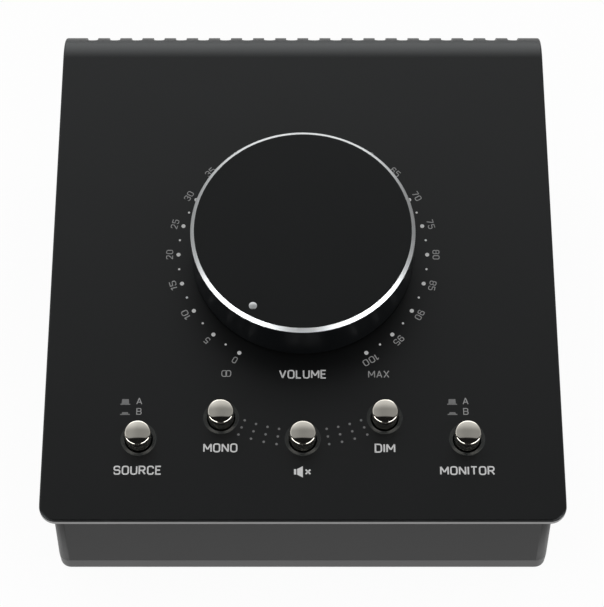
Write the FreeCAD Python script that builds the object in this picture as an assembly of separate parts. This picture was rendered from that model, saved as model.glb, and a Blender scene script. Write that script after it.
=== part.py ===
import FreeCAD, Part

import math
import os

# Studio monitor controller: a sloping desktop box with a large volume knob and five latching buttons.
#
# Millimetres. Row frame: +Z up, the user sits at -Y, +X to the user's right, and the origin lies
# on the desk under the middle of the body. Panel frame: its origin is where the knob's axis
# crosses the panel's face, X to the right, Y up the slope and Z out of the panel.

Vec = FreeCAD.Vector

# ---- top cover: one folded sheet, flat over the controls and bent down at the back
panel_width = 138.3
panel_slope = 13.8  # degrees that the panel falls towards the user
panel_front = 77.9  # knob axis to the front edge, along the slope
panel_rear = 63.7  # knob axis to the start of the rear bend, along the slope
panel_height = 49.85  # the panel's face at the knob axis, above the desk
cover_sheet = 2.0
cover_bend = 12.0  # outside radius of the rear bend
cover_corner = 4.5
cover_edge_round = 0.6
skirt_drop = 11.3  # rear skirt below the end of the bend
skirt_corner = 3.0
cover_overhang = 3.2  # past the frame, at the front and the sides

vent_count = 20
vent_edge = 7.8  # the outermost slots' centres to the cover's sides
vent_width = 3.3
vent_start_turn = 39.0  # degrees round the bend where a slot begins
vent_drop = 4.5  # slot below the end of the bend

# ---- frame, bottom pan and rear plate
frame_sheet = 1.6
frame_corner = 3.0
pan_rim = 5.6
pan_draft = 1.3  # the rim's front leans in by this at its foot
pan_edge_round = 0.8
pan_floor = 1.6
rear_plate_sheet = 1.5
rear_plate_recess = 2.0  # behind the skirt's inside face
rear_plate_overlap = 4.5  # hidden behind the skirt
rear_flange = 8.0
foot_height = 2.0
foot_radius = 6.0
foot_taper = 0.7
foot_inset = 14.0

tab_sheet = 1.2
tab_reach = 10.0
tab_width = 12.0
tab_lap = 4.0  # up the inside of the frame
lower_tab_rows = (-42.0, 38.0)
front_tab_offset = 30.0
upper_tab_rows = (-30.0, 46.0)  # up the slope

# ---- fasteners, all M3
screw_radius = 1.5
screw_clearance = 0.2
screw_head_radius = 2.8
screw_head_height = 1.6
screw_head_round = 0.7
nut_flats = 5.5
nut_height = 2.4
stud_spare = 1.5  # thread left beyond a nut or a board

# ---- volume control
pot_side = 26.0
pot_depth = 24.0
pot_corner = 2.0
pot_floor = 6.0
pot_shaft_radius = 3.0
pot_shaft_running = 0.05
pot_shaft_end_gap = 0.3
bushing_radius = 4.5
bushing_rise = 6.5  # above the panel's face
bushing_clearance = 0.3
pot_washer_radius = 7.5
pot_washer_height = 0.8
pot_nut_flats = 12.0
pot_nut_height = 2.4
pot_lug_radius = 1.2
pot_lug_offset = 9.5
pot_lug_clearance = 0.15
pot_lug_height = 1.6
pot_pin_width = 0.9
pot_pin_sheet = 0.5
pot_pin_pitch = 5.0
pot_pin_reach = 1.5  # past the board's cutout
pot_pin_step = 2.0  # between the two rows
pot_pin_rise = 2.0  # above the board, in the nearer row

# ---- knob
knob_radius = 30.5
knob_top = 15.4  # above the panel's face
knob_gap = 1.0  # under the knob
knob_wall = 2.5
knob_roof = 3.0
knob_chamfer_run = 1.15
knob_chamfer_drop = 0.95
knob_turn = 300.0  # degrees from end stop to end stop
hub_radius = 7.0
hub_flange = 1.6
hub_rib_count = 6
hub_rib_sheet = 1.6
hub_rib_edge = 1.0
hub_rib_lift = 1.0  # ribs above the sleeve's foot
hub_gap = 0.5  # hub above the bushing
shaft_in_flange = 0.7
marker_radius = 1.08
marker_depth = 1.2
marker_crown = 0.08
marker_offset = 26.5

# ---- push buttons
button_pitch = 21.8
button_front_row = 54.75  # in front of the knob axis, along the slope
button_rear_row = 48.6
button_travel = 2.2
cap_radius = 3.5
cap_top = 5.0
cap_crown = 0.35
cap_shoulder = 0.5  # rounding between the cap's side and its crown
cap_below = 0.6  # the cap's foot, below the panel's underside
cap_roof = 1.2  # metal over the plunger's end, below the crown
cap_clearance = 0.25
dish_radius = 4.8
dish_depth = 0.45
switch_side = 8.0
switch_gap = 0.7  # left under a pressed cap
switch_floor = 0.8
switch_pin_radius = 0.3
switch_pin_pitch = 2.5
plunger_radius = 1.9
plunger_clearance = 0.3
plunger_in_switch = 3.6
spring_radius = 1.35
spring_wire = 0.15  # half the side of the square wire
spring_turns = 4
spring_steps = 12  # straight stretches in a turn

# ---- control board, parallel to the panel
board_sheet = 1.6
board_drop = 13.0  # the panel's underside to the board
board_margin = 7.0  # past the outermost switches
board_rear = 30.0
board_cutout_gap = 1.0
post_radius = 2.5
post_inset = 5.0
header_length = 20.0
header_width = 6.0
header_height = 5.5
header_inset = 6.0
resistor_radius = 1.1
resistor_length = 6.3
resistor_lead = 0.5
resistor_lead_reach = 2.0
resistor_pitch = 12.6
resistor_count = 4
resistor_rows = (25.0, 32.0)

# ---- jacks on the jack board
jack_height = 21.0  # sockets above the desk
jack_body_width = 15.0
jack_body_height = 14.0
jack_body_length = 28.0
jack_gap = 1.0
jack_bore = 3.25  # takes a 6.35 mm plug
jack_back_wall = 1.6
jack_nose = 4.5
jack_washer_radius = 6.8
jack_washer_height = 0.6
jack_nut_flats = 12.0
jack_nut_height = 2.2
jack_nose_spare = 0.6
jack_hole_clearance = 0.15
mini_body_width = 8.0
mini_body_height = 11.0
mini_body_length = 12.0
mini_bore = 1.8  # takes a 3.5 mm plug
mini_back_wall = 1.2
mini_nose = 3.0
mini_nut_radius = 4.2
mini_nut_height = 1.6
mini_nose_spare = 0.4
jack_board_front = 24.0  # ahead of the jacks
jack_board_gap = 0.7  # short of the rear plate
ribbon_sheet = 0.9
ribbon_width = 18.0
ribbon_bend = 3.0
ribbon_straight = 1.5  # out of the upper header
ribbon_slack = 4.0  # level stretch between the bends

# ---- places that follow from the sizes above
slope = math.radians(panel_slope)
bend_turn = 90.0 + panel_slope
vent_pitch = (panel_width - 2 * vent_edge) / (vent_count - 1)
bend_rear = panel_rear * math.cos(slope) + cover_bend * (1 + math.sin(slope))
nose_front = (panel_front - cover_edge_round) * math.cos(slope) + cover_edge_round * (1 - math.sin(slope))
panel_y = (nose_front - bend_rear) / 2  # centres the body over the origin
panel_place = FreeCAD.Placement(Vec(0, panel_y, panel_height), FreeCAD.Rotation(Vec(1, 0, 0), panel_slope))

body_rear = panel_y + bend_rear
frame_half = panel_width / 2 - cover_overhang
frame_inner = frame_half - frame_sheet
frame_front = panel_y - panel_front * math.cos(slope) + cover_overhang
frame_rear = body_rear - cover_sheet
pan_top = foot_height + pan_rim
pan_floor_top = foot_height + pan_floor
plate_rear = frame_rear - rear_plate_recess
plate_front = plate_rear - rear_plate_sheet
bend_end_height = panel_height + panel_rear * math.sin(slope) - cover_bend * math.cos(slope)
plate_top = bend_end_height - skirt_drop + rear_plate_overlap
underside = -cover_sheet
cap_bottom = underside - cap_below
board_top = underside - board_drop
board_bottom = board_top - board_sheet
switch_top = cap_bottom - button_travel - switch_gap
plunger_top = cap_top - cap_crown - cap_roof
plunger_bottom = switch_top - plunger_in_switch
screw_hole = screw_radius + screw_clearance


# ---- shapes
def box(x, y, z):
    """A block from three (low, high) pairs."""
    return Part.makeBox(x[1] - x[0], y[1] - y[0], z[1] - z[0], Vec(x[0], y[0], z[0]))


def rod(radius, low, high, x=0.0, y=0.0):
    """A cylinder along Z."""
    return Part.makeCylinder(radius, high - low, Vec(x, y, low))


def ring(outer, inner, low, high, x=0.0, y=0.0):
    return rod(outer, low, high, x, y).cut(rod(inner, low - 1, high + 1, x, y))


def rear_rod(radius, front, rear, x, z):
    """A cylinder along Y."""
    return Part.makeCylinder(radius, rear - front, Vec(x, front, z), Vec(0, 1, 0))


def hex_nut(flats, bore, height):
    """A nut that stands on the XY plane."""
    corner = flats / math.sqrt(3)
    turns = [math.radians(60 * k) for k in range(7)]
    outline = Part.makePolygon([Vec(corner * math.cos(a), corner * math.sin(a), 0) for a in turns])
    return Part.Face(outline).extrude(Vec(0, 0, height)).cut(rod(bore, -1, height + 1))


def pan_screw(length):
    """A pan-head screw: the head stands on the XY plane and the shank runs down."""
    head = rod(screw_head_radius, 0, screw_head_height)
    top_rim = [e for e in head.Edges if e.BoundBox.ZMin > screw_head_height / 2]
    head = head.makeFillet(screw_head_round, top_rim)
    return head.fuse(rod(screw_radius, -length, 0.0)).removeSplitter()


def placed(shape, x=0.0, y=0.0, z=0.0, axis=Vec(0, 0, 1), degrees=0.0):
    """A copy, turned about the origin and then moved."""
    copy = shape.copy()
    copy.Placement = FreeCAD.Placement(Vec(x, y, z), FreeCAD.Rotation(axis, degrees)).multiply(copy.Placement)
    return copy


def on_panel(shape):
    """A copy moved from the panel frame to the row frame."""
    copy = shape.copy()
    copy.Placement = panel_place.multiply(copy.Placement)
    return copy


def panel_point(x, y, z):
    """A point of the panel frame in the row frame."""
    return panel_place.multVec(Vec(x, y, z))


def joined(solids):
    return solids[0].multiFuse(solids[1:]).removeSplitter()


# ---- the cover's section, in the panel frame's YZ plane
def bend_point(radius, degrees, x=0.0):
    """A point on a circle about the rear bend's centre, turned from straight out of the panel."""
    turn = math.radians(degrees)
    return Vec(x, panel_rear + radius * math.sin(turn), radius * math.cos(turn) - cover_bend)


def downwards(length):
    """A step straight down in the row frame, as the panel frame sees it."""
    return Vec(0, -length * math.sin(slope), -length * math.cos(slope))


def section_line(depth, front, drop):
    """The cover's line at a depth below its outside: panel, bend and skirt."""
    radius = cover_bend - depth
    ends = [bend_point(radius, 0), bend_point(radius, bend_turn)]
    first = Vec(0, -front, -depth)
    last = ends[1] + downwards(drop)
    edges = [
        Part.makeLine(first, ends[0]),
        Part.Arc(ends[0], bend_point(radius, bend_turn / 2), ends[1]).toShape(),
        Part.makeLine(ends[1], last),
    ]
    return edges, first, last


def across(edges, half_width):
    """A closed section carried across the body's width."""
    face = Part.Face(Part.Wire(Part.__sortEdges__(edges)))
    face.translate(Vec(-half_width, 0, 0))
    return face.extrude(Vec(2 * half_width, 0, 0))


def under_cover():
    """All that lies below the cover's underside and ahead of its skirt."""
    far = 2 * panel_front
    edges, first, last = section_line(cover_sheet, far, far)
    corner = first + downwards(far)
    edges += [Part.makeLine(last, corner), Part.makeLine(corner, first)]
    return on_panel(across(edges, panel_width))


def vent_cutter():
    """One round-ended slot over the bend and down the skirt, centred on X."""
    half = vent_width / 2
    inner, outer = cover_bend * 0.5, cover_bend * 1.6
    middle = (vent_start_turn + bend_turn) / 2
    low_in = bend_point(inner, bend_turn) + downwards(vent_drop)
    low_out = bend_point(outer, bend_turn) + downwards(vent_drop)
    corners = [bend_point(inner, vent_start_turn), bend_point(outer, vent_start_turn)]
    corners += [bend_point(outer, middle), bend_point(outer, bend_turn), low_out, low_in]
    corners += [bend_point(inner, bend_turn), bend_point(inner, middle), corners[0]]
    sides = [Part.makeLine(a, b) for a, b in zip(corners, corners[1:])]
    ends = [
        Part.makeCylinder(half, outer - inner, corners[0], corners[1] - corners[0]),
        Part.makeCylinder(half, outer - inner, low_in, low_out - low_in),
    ]
    return across(sides, half).multiFuse(ends)


def outside_rim(cover):
    """The edges that bound the cover's outside, without the bend's own seams."""
    seams = [bend_point(cover_bend, 0), bend_point(cover_bend, bend_turn)]
    centre = bend_point(0, 0)
    rear = bend_point(1, bend_turn) - centre

    def outside(p):
        from_centre = Vec(0, p.y, p.z) - centre
        if p.y <= panel_rear:
            return abs(p.z) < 0.01
        if from_centre.dot(downwards(1)) > 0:
            return abs(from_centre.dot(rear) - cover_bend) < 0.01
        return abs(from_centre.Length - cover_bend) < 0.01

    rim = []
    for edge in cover.Edges:
        middle = edge.valueAt((edge.FirstParameter + edge.LastParameter) / 2)
        on_seam = any((Vec(0, middle.y, middle.z) - seam).Length < 0.01 for seam in seams)
        if outside(middle) and not on_seam and all(outside(v.Point) for v in edge.Vertexes):
            rim.append(edge)
    return rim


def edges_along(shape, direction, near):
    """Straight edges along a direction whose middle passes a test."""
    found = []
    for edge in shape.Edges:
        if len(edge.Vertexes) < 2:
            continue
        run = edge.Vertexes[1].Point - edge.Vertexes[0].Point
        if run.Length > 0 and run.cross(direction).Length < 0.001 * run.Length and near(edge.CenterOfMass):
            found.append(edge)
    return found


def plan_wire(inset, rear, level, setback=0.0):
    """The frame's plan with two rounded front corners, drawn in by an inset, its front set back by more."""
    half = frame_half - inset
    front = frame_front + inset + setback
    radius = frame_corner - inset
    bulge = radius * (1 - math.sqrt(0.5))
    left = [Vec(-half, rear, level), Vec(-half, front + radius, level), Vec(radius - half, front, level)]
    right = [Vec(-p.x, p.y, level) for p in reversed(left)]
    edges = [
        Part.makeLine(left[0], left[1]),
        Part.Arc(left[1], Vec(bulge - half, front + bulge, level), left[2]).toShape(),
        Part.makeLine(left[2], right[0]),
        Part.Arc(right[0], Vec(half - bulge, front + bulge, level), right[1]).toShape(),
        Part.makeLine(right[1], right[2]),
        Part.makeLine(right[2], left[0]),
    ]
    return Part.Wire(edges)


def plan_block(inset, rear, low, high):
    return Part.Face(plan_wire(inset, rear, low)).extrude(Vec(0, 0, high - low))


# ---- places that repeat
def button_places():
    """(name, x, y) of each button in the panel frame, left to right."""
    names = ("source", "mono", "mute", "dim", "monitor")
    rows = (button_front_row, button_rear_row)
    return [(name, (k - 2) * button_pitch, -rows[k % 2]) for k, name in enumerate(names)]


def post_places():
    half = board_half_width - post_inset
    return [(x, y) for x in (-half, half) for y in (post_inset - board_front, board_rear - post_inset)]


def stud_places():
    reach = frame_inner - tab_reach / 2
    return [(x, y) for x in (-reach, reach) for y in upper_tab_rows]


def lower_tab_places():
    """(x, y, toward) of each lower tab's screw; toward points at the wall that carries it."""
    reach = frame_inner - tab_reach / 2
    sides = [(side * reach, y, Vec(side, 0, 0)) for side in (-1, 1) for y in lower_tab_rows]
    front = frame_front + frame_sheet + tab_reach / 2
    return sides + [(side * front_tab_offset, front, Vec(0, -1, 0)) for side in (-1, 1)]


def rear_screw_places():
    reach = frame_inner - rear_flange / 2
    return [(x, z) for x in (-reach, reach) for z in (pan_top + rear_flange / 2, plate_top - rear_flange)]


def jack_places():
    """X of the 6.35 mm jacks, and X of the 3.5 mm jack between the outputs and the inputs."""
    pitch = jack_body_width + jack_gap
    mini_slot = mini_body_width + jack_gap
    left = -(6 * pitch + mini_slot) / 2
    outputs = [left + (k + 0.5) * pitch for k in range(4)]
    mini = left + 4 * pitch + mini_slot / 2
    inputs = [mini + mini_slot / 2 + (k + 0.5) * pitch for k in range(2)]
    return outputs + inputs, mini


board_half_width = 2 * button_pitch + switch_side / 2 + board_margin
board_front = button_front_row + switch_side / 2 + board_margin
jack_board_top = jack_height - jack_body_height / 2
jack_board_bottom = jack_board_top - board_sheet
jack_front = plate_front - jack_body_length
jack_nose_rear = plate_rear + jack_washer_height + jack_nut_height + jack_nose_spare
mini_nose_rear = plate_rear + mini_nut_height + mini_nose_spare


# ---- casing
def top_cover():
    outer, outer_first, outer_last = section_line(0, panel_front, skirt_drop)
    inner, inner_first, inner_last = section_line(cover_sheet, panel_front, skirt_drop)
    ends = [Part.makeLine(outer_first, inner_first), Part.makeLine(outer_last, inner_last)]
    cover = across(outer + inner + ends, panel_width / 2)
    front_corners = edges_along(cover, Vec(0, 0, 1), lambda p: p.y < 0.01 - panel_front)
    cover = cover.makeFillet(cover_corner, front_corners)
    skirt_edges = edges_along(cover, bend_point(1, bend_turn) - bend_point(0, 0), lambda p: p.z < -cover_bend)
    cover = cover.makeFillet(skirt_corner, skirt_edges)
    cover = cover.makeFillet(cover_edge_round, outside_rim(cover))
    cuts = [rod(bushing_radius + bushing_clearance, underside - 1, 1)]
    cuts.append(rod(pot_lug_radius + pot_lug_clearance, underside - 1, 1, 0, pot_lug_offset))
    for _, x, y in button_places():
        hole = cap_radius + cap_clearance
        cuts.append(rod(hole, underside - 1, 1, x, y))
        cuts.append(Part.makeCone(hole, dish_radius, dish_depth, Vec(x, y, -dish_depth)))
    slot = vent_cutter()
    cuts += [placed(slot, (k - (vent_count - 1) / 2) * vent_pitch) for k in range(vent_count)]
    return on_panel(cover.cut(Part.makeCompound(cuts)))


def side_frame():
    """Front and side walls from one strip, with tabs folded in at the top, the bottom and the back."""
    high = panel_height + panel_rear
    walls = plan_block(0, frame_rear, pan_top, high)
    walls = walls.cut(plan_block(frame_sheet, frame_rear + 1, pan_top - 1, high + 1))
    walls = walls.common(under_cover())
    pieces = [walls]
    holes = []
    for x, y, toward in lower_tab_places():
        along = Vec(abs(toward.y), abs(toward.x), 0)
        centre = Vec(x, y, 0)
        wall = centre + toward * (tab_reach / 2)
        corner = along * (tab_width / 2)
        foot = (centre - toward * (tab_reach / 2) - corner, wall + corner)
        leaf = (wall - toward * tab_sheet - corner, wall + corner)
        for (a, b), top in ((foot, pan_floor_top + tab_sheet), (leaf, pan_top + tab_lap)):
            spans = [(min(a.x, b.x), max(a.x, b.x)), (min(a.y, b.y), max(a.y, b.y))]
            pieces.append(box(spans[0], spans[1], (pan_floor_top, top)))
        holes.append(rod(screw_radius, pan_floor_top - 1, pan_floor_top + tab_sheet + 1, x, y))
    for x, y in stud_places():
        wall = math.copysign(frame_inner, x)
        span = sorted((wall, wall - math.copysign(tab_reach, x)))
        tab = box(span, (y - tab_width / 2, y + tab_width / 2), (underside - tab_sheet, underside))
        pieces.append(on_panel(tab))
        holes.append(on_panel(rod(screw_hole, underside - tab_sheet - 1, underside + 1, x, y)))
    for side in (-1, 1):
        span = sorted((side * frame_inner, side * (frame_inner - rear_flange)))
        pieces.append(box(span, (plate_front - frame_sheet, plate_front), (pan_top, plate_top)))
    for x, z in rear_screw_places():
        holes.append(rear_rod(screw_radius, plate_front - frame_sheet - 1, plate_front + 1, x, z))
    return joined(pieces).cut(Part.makeCompound(holes))


def bottom_pan():
    ends = [plan_wire(0, frame_rear, foot_height, pan_draft), plan_wire(0, frame_rear, pan_top)]
    pan = Part.makeLoft(ends, True, True)
    low_edges = [e for e in pan.Edges if e.BoundBox.ZMax < foot_height + 0.01]
    pan = pan.makeFillet(pan_edge_round, [e for e in low_edges if e.CenterOfMass.y < frame_rear - 0.01])
    pan = pan.cut(plan_block(frame_sheet, frame_rear + 1, pan_floor_top, pan_top + 1))
    holes = [rod(screw_hole, 0, pan_floor_top + 1, x, y) for x, y, _ in lower_tab_places()]
    return pan.cut(Part.makeCompound(holes))


def rear_plate():
    plate = box((-frame_inner, frame_inner), (plate_front, plate_rear), (pan_floor_top, plate_top))
    jacks, mini = jack_places()
    holes = [(x, jack_height, jack_nose + jack_hole_clearance) for x in jacks]
    holes.append((mini, jack_height, mini_nose + jack_hole_clearance))
    holes += [(x, z, screw_hole) for x, z in rear_screw_places()]
    cuts = [rear_rod(radius, plate_front - 1, plate_rear + 1, x, z) for x, z, radius in holes]
    return plate.cut(Part.makeCompound(cuts))


def rubber_feet():
    x = frame_half - foot_inset
    y = (frame_front + foot_inset, frame_rear - foot_inset)
    foot = Part.makeCone(foot_radius - foot_taper, foot_radius, foot_height)
    return [placed(foot, side * x, row) for side in (-1, 1) for row in y]


def bottom_screws():
    length = pan_floor + tab_sheet + stud_spare
    screw = placed(pan_screw(length), 0, 0, foot_height, Vec(1, 0, 0), 180)
    return [placed(screw, x, y) for x, y, _ in lower_tab_places()]


def rear_screws():
    length = rear_plate_sheet + frame_sheet + stud_spare
    screw = placed(pan_screw(length), 0, plate_rear, 0, Vec(1, 0, 0), -90)
    return [placed(screw, x, 0, z) for x, z in rear_screw_places()]


def cover_studs():
    end = underside - tab_sheet - nut_height - stud_spare
    return [on_panel(rod(screw_radius, end, underside, x, y)) for x, y in stud_places()]


def cover_nuts():
    nut = hex_nut(nut_flats, screw_radius, nut_height)
    return [on_panel(placed(nut, x, y, underside - tab_sheet - nut_height)) for x, y in stud_places()]


# ---- volume control
def pot_body():
    half = pot_side / 2
    body = box((-half, half), (-half, half), (underside - pot_depth, underside))
    body = body.makeFillet(pot_corner, edges_along(body, Vec(0, 0, 1), lambda p: True))
    lug = rod(pot_lug_radius, underside, underside + pot_lug_height, 0, pot_lug_offset)
    cavity = rod(pot_shaft_radius + pot_shaft_running, underside - pot_depth + pot_floor, underside + 1)
    return on_panel(joined([body, lug]).cut(cavity))


def pot_bushing():
    bore = pot_shaft_radius + pot_shaft_running
    return on_panel(ring(bushing_radius, bore, underside, bushing_rise))


def pot_washer():
    return on_panel(ring(pot_washer_radius, bushing_radius, 0, pot_washer_height))


def pot_nut():
    return on_panel(placed(hex_nut(pot_nut_flats, bushing_radius, pot_nut_height), 0, 0, pot_washer_height))


def pot_pins():
    """Two rows of three bent pins from the pot's front face down to the control board."""
    pins = []
    front = -pot_side / 2
    for row in (0, 1):
        out = front - board_cutout_gap - pot_pin_reach - pot_pin_step * row
        level = board_top + pot_pin_rise + pot_pin_step * row
        for k in (-1, 0, 1):
            x = (k * pot_pin_pitch - pot_pin_width / 2, k * pot_pin_pitch + pot_pin_width / 2)
            arm = box(x, (out, front), (level - pot_pin_sheet, level))
            leg = box(x, (out, out + pot_pin_sheet), (board_top, level))
            pins.append(on_panel(joined([arm, leg])))
    return pins


hub_bottom = bushing_rise + hub_gap
hub_top = knob_top - knob_roof
shaft_top = hub_top - shaft_in_flange
knob_inner = knob_radius - knob_wall


def pot_shaft():
    bottom = underside - pot_depth + pot_floor + pot_shaft_end_gap
    return on_panel(rod(pot_shaft_radius, bottom, shaft_top))


def knob_shell():
    shoulder = knob_top - knob_chamfer_drop
    side = rod(knob_radius, knob_gap, shoulder)
    crown = Part.makeCone(knob_radius, knob_radius - knob_chamfer_run, knob_chamfer_drop, Vec(0, 0, shoulder))
    hollow = rod(knob_inner, knob_gap - 1, hub_top)
    x, y = marker_place()
    seat = rod(marker_radius, knob_top - marker_depth, knob_top + 1, x, y)
    return on_panel(joined([side, crown]).cut(hollow).cut(seat))


def knob_hub():
    """A sleeve on the shaft under a disc that fills the shell, stiffened by ribs."""
    disc = rod(knob_inner, hub_top - hub_flange, hub_top)
    sleeve = rod(hub_radius, hub_bottom, hub_top)
    span = (hub_bottom + hub_rib_lift, hub_top - hub_flange / 2)
    rib = box((0, knob_inner - hub_rib_edge), (-hub_rib_sheet / 2, hub_rib_sheet / 2), span)
    ribs = [placed(rib, 0, 0, 0, Vec(0, 0, 1), 360 / hub_rib_count * k) for k in range(hub_rib_count)]
    hub = joined([disc, sleeve] + ribs)
    return on_panel(hub.cut(rod(pot_shaft_radius, hub_bottom - 1, shaft_top)))


def marker_place():
    """The marker at the knob's lower stop, half the turn to the left of straight up the slope."""
    turn = math.radians(-knob_turn / 2)
    return marker_offset * math.sin(turn), marker_offset * math.cos(turn)


def knob_marker():
    """A polished pin let into the knob's face, with a low crown."""
    ball = (marker_radius**2 + marker_crown**2) / (2 * marker_crown)
    x, y = marker_place()
    pin = rod(marker_radius, knob_top - marker_depth, knob_top + marker_crown, x, y)
    sphere = Part.makeSphere(ball, Vec(x, y, knob_top + marker_crown - ball))
    body = rod(marker_radius, knob_top - marker_depth, knob_top, x, y)
    return on_panel(joined([body, pin.common(sphere)]))


# ---- push buttons
def button_cap(x, y):
    """A round cap with a low crown and a rounded shoulder."""
    ball = (cap_radius**2 + cap_crown**2) / (2 * cap_crown)
    sphere = Part.makeSphere(ball, Vec(x, y, cap_top - ball))
    cap = rod(cap_radius, cap_bottom, cap_top, x, y).common(sphere)
    rim = [e for e in cap.Edges if e.BoundBox.ZMin > cap_top - 2 * cap_crown and e.BoundBox.ZLength < 0.01]
    cap = cap.makeFillet(cap_shoulder, rim)
    return on_panel(cap.cut(rod(plunger_radius, cap_bottom - 1, plunger_top, x, y)))


def button_plunger(x, y):
    return on_panel(rod(plunger_radius, plunger_bottom, plunger_top, x, y))


def switch_body(x, y):
    half = switch_side / 2
    body = box((x - half, x + half), (y - half, y + half), (board_top, switch_top))
    well = rod(plunger_radius + plunger_clearance, board_top + switch_floor, switch_top + 1, x, y)
    return on_panel(body.cut(well))


def return_spring(x, y):
    """A coil of square wire in short straight stretches, between the switch's floor and the plunger."""
    low = board_top + switch_floor + spring_wire
    length = plunger_bottom - low - spring_wire
    steps = spring_turns * spring_steps
    sections = []
    for step in range(steps + 1):
        turn = 2 * math.pi * step / spring_steps
        across, along = math.cos(turn), math.sin(turn)
        level = low + length * step / steps
        section = []
        for out, up in ((-1, -1), (1, -1), (1, 1), (-1, 1)):
            reach = spring_radius + out * spring_wire
            section.append(Vec(x + reach * across, y + reach * along, level + up * spring_wire))
        sections.append(section)
    corners = [sections[0], sections[-1]]
    for near, far in zip(sections, sections[1:]):
        for k in range(4):
            turned = (k + 1) % 4
            corners += [[near[k], near[turned], far[turned]], [near[k], far[turned], far[k]]]
    faces = [Part.Face(Part.makePolygon(points + points[:1])) for points in corners]
    coil = Part.Solid(Part.Shell(faces))
    if coil.Volume < 0:
        coil.reverse()
    return on_panel(coil)


def switch_pins():
    """Two rows of three pins under each switch, through the control board."""
    pin = rod(switch_pin_radius, board_bottom - stud_spare, board_top)
    pins = []
    for _, x, y in button_places():
        for row in (-1, 1):
            pins += [placed(pin, x + k * switch_pin_pitch, y + row * switch_pin_pitch) for k in (-1, 0, 1)]
    return [on_panel(p) for p in pins]


# ---- control board
def control_board():
    half = pot_side / 2 + board_cutout_gap
    board = box((-board_half_width, board_half_width), (-board_front, board_rear), (board_bottom, board_top))
    cuts = [box((-half, half), (-half, half), (board_bottom - 1, board_top + 1))]
    cuts += [rod(screw_hole, board_bottom - 1, board_top + 1, x, y) for x, y in post_places()]
    for _, x, y in button_places():
        for row in (-1, 1):
            for k in (-1, 0, 1):
                place = (x + k * switch_pin_pitch, y + row * switch_pin_pitch)
                cuts.append(rod(switch_pin_radius, board_bottom - 1, board_top + 1, *place))
    return on_panel(board.cut(Part.makeCompound(cuts)))


def board_posts():
    """Round posts pressed into the cover, tapped at the lower end."""
    depth = board_top + 2 * stud_spare + board_sheet
    posts = []
    for x, y in post_places():
        post = rod(post_radius, board_top, underside, x, y)
        posts.append(on_panel(post.cut(rod(screw_radius, board_top - 1, depth, x, y))))
    return posts


def board_screws():
    screw = placed(pan_screw(board_sheet + 2 * stud_spare), 0, 0, board_bottom, Vec(1, 0, 0), 180)
    return [on_panel(placed(screw, x, y)) for x, y in post_places()]


def resistor(x, y):
    """A barrel held over the board by its two bent leads."""
    level = board_top + resistor_radius + resistor_lead
    half = resistor_length / 2
    reach = half + resistor_lead_reach
    thick = resistor_lead / 2
    deep = (y - thick, y + thick)
    barrel = Part.makeCylinder(resistor_radius, resistor_length, Vec(x - half, y, level), Vec(1, 0, 0))
    lead = box((x - reach, x + reach), deep, (level - thick, level + thick))
    legs = []
    for side in (-1, 1):
        wide = sorted((x + side * reach, x + side * (reach - resistor_lead)))
        legs.append(box(wide, deep, (board_top, level)))
    return on_panel(joined([barrel, lead] + legs))


def resistors():
    columns = [(k - (resistor_count - 1) / 2) * resistor_pitch for k in range(resistor_count)]
    return [resistor(x, -y) for y in resistor_rows for x in columns]


header_y = board_rear - header_inset


def upper_header():
    half = header_length / 2
    span = (header_y - header_width / 2, header_y + header_width / 2)
    return on_panel(box((-half, half), span, (board_bottom - header_height, board_bottom)))


# ---- ribbon cable between the boards, in the row frame's YZ plane
ribbon_start = panel_point(0, header_y, board_bottom - header_height)
ribbon_out = Vec(0, math.sin(slope), -math.cos(slope))
ribbon_side = Vec(0, math.cos(slope), math.sin(slope))
first_centre = ribbon_start + ribbon_out * ribbon_straight + ribbon_side * ribbon_bend
second_centre = first_centre + Vec(0, ribbon_slack, -2 * ribbon_bend)
ribbon_end_y = second_centre.y + ribbon_bend
lower_header_top = jack_board_top + header_height


def round_point(centre, radius, turn):
    """A point on a circle in the YZ plane, turned from +Y towards +Z."""
    return centre + Vec(0, radius * math.cos(turn), radius * math.sin(turn))


def ribbon_face(offset):
    """One face of the ribbon: out of the upper header, a step to the rear, down into the lower header."""
    tight, wide = ribbon_bend - offset, ribbon_bend + offset
    leave, level = math.pi + slope, 1.5 * math.pi
    start = ribbon_start + ribbon_side * offset
    first = [round_point(first_centre, tight, turn) for turn in (leave, (leave + level) / 2, level)]
    second = [round_point(second_centre, wide, turn) for turn in (math.pi / 2, math.pi / 4, 0)]
    end = Vec(0, second[2].y, lower_header_top)
    edges = [Part.makeLine(start, first[0]), Part.Arc(*first).toShape(), Part.makeLine(first[2], second[0])]
    edges += [Part.Arc(*second).toShape(), Part.makeLine(second[2], end)]
    return edges, start, end


def ribbon_cable():
    near, near_start, near_end = ribbon_face(-ribbon_sheet / 2)
    far, far_start, far_end = ribbon_face(ribbon_sheet / 2)
    ends = [Part.makeLine(near_start, far_start), Part.makeLine(near_end, far_end)]
    return across(near + far + ends, ribbon_width / 2)


def lower_header():
    half = header_length / 2
    span = (ribbon_end_y - header_width / 2, ribbon_end_y + header_width / 2)
    return box((-half, half), span, (jack_board_top, lower_header_top))


# ---- jack board and jacks
jack_board_start = jack_front - jack_board_front


def jack_post_places():
    jacks, _ = jack_places()
    row = jack_board_start + post_inset
    return [(jacks[0], row), (jacks[-1], row)]


def jack_board():
    jacks, _ = jack_places()
    half = jacks[-1] + jack_body_width / 2
    board = box(
        (-half, half), (jack_board_start, plate_front - jack_board_gap), (jack_board_bottom, jack_board_top)
    )
    holes = [rod(screw_hole, jack_board_bottom - 1, jack_board_top + 1, x, y) for x, y in jack_post_places()]
    return board.cut(Part.makeCompound(holes))


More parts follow.
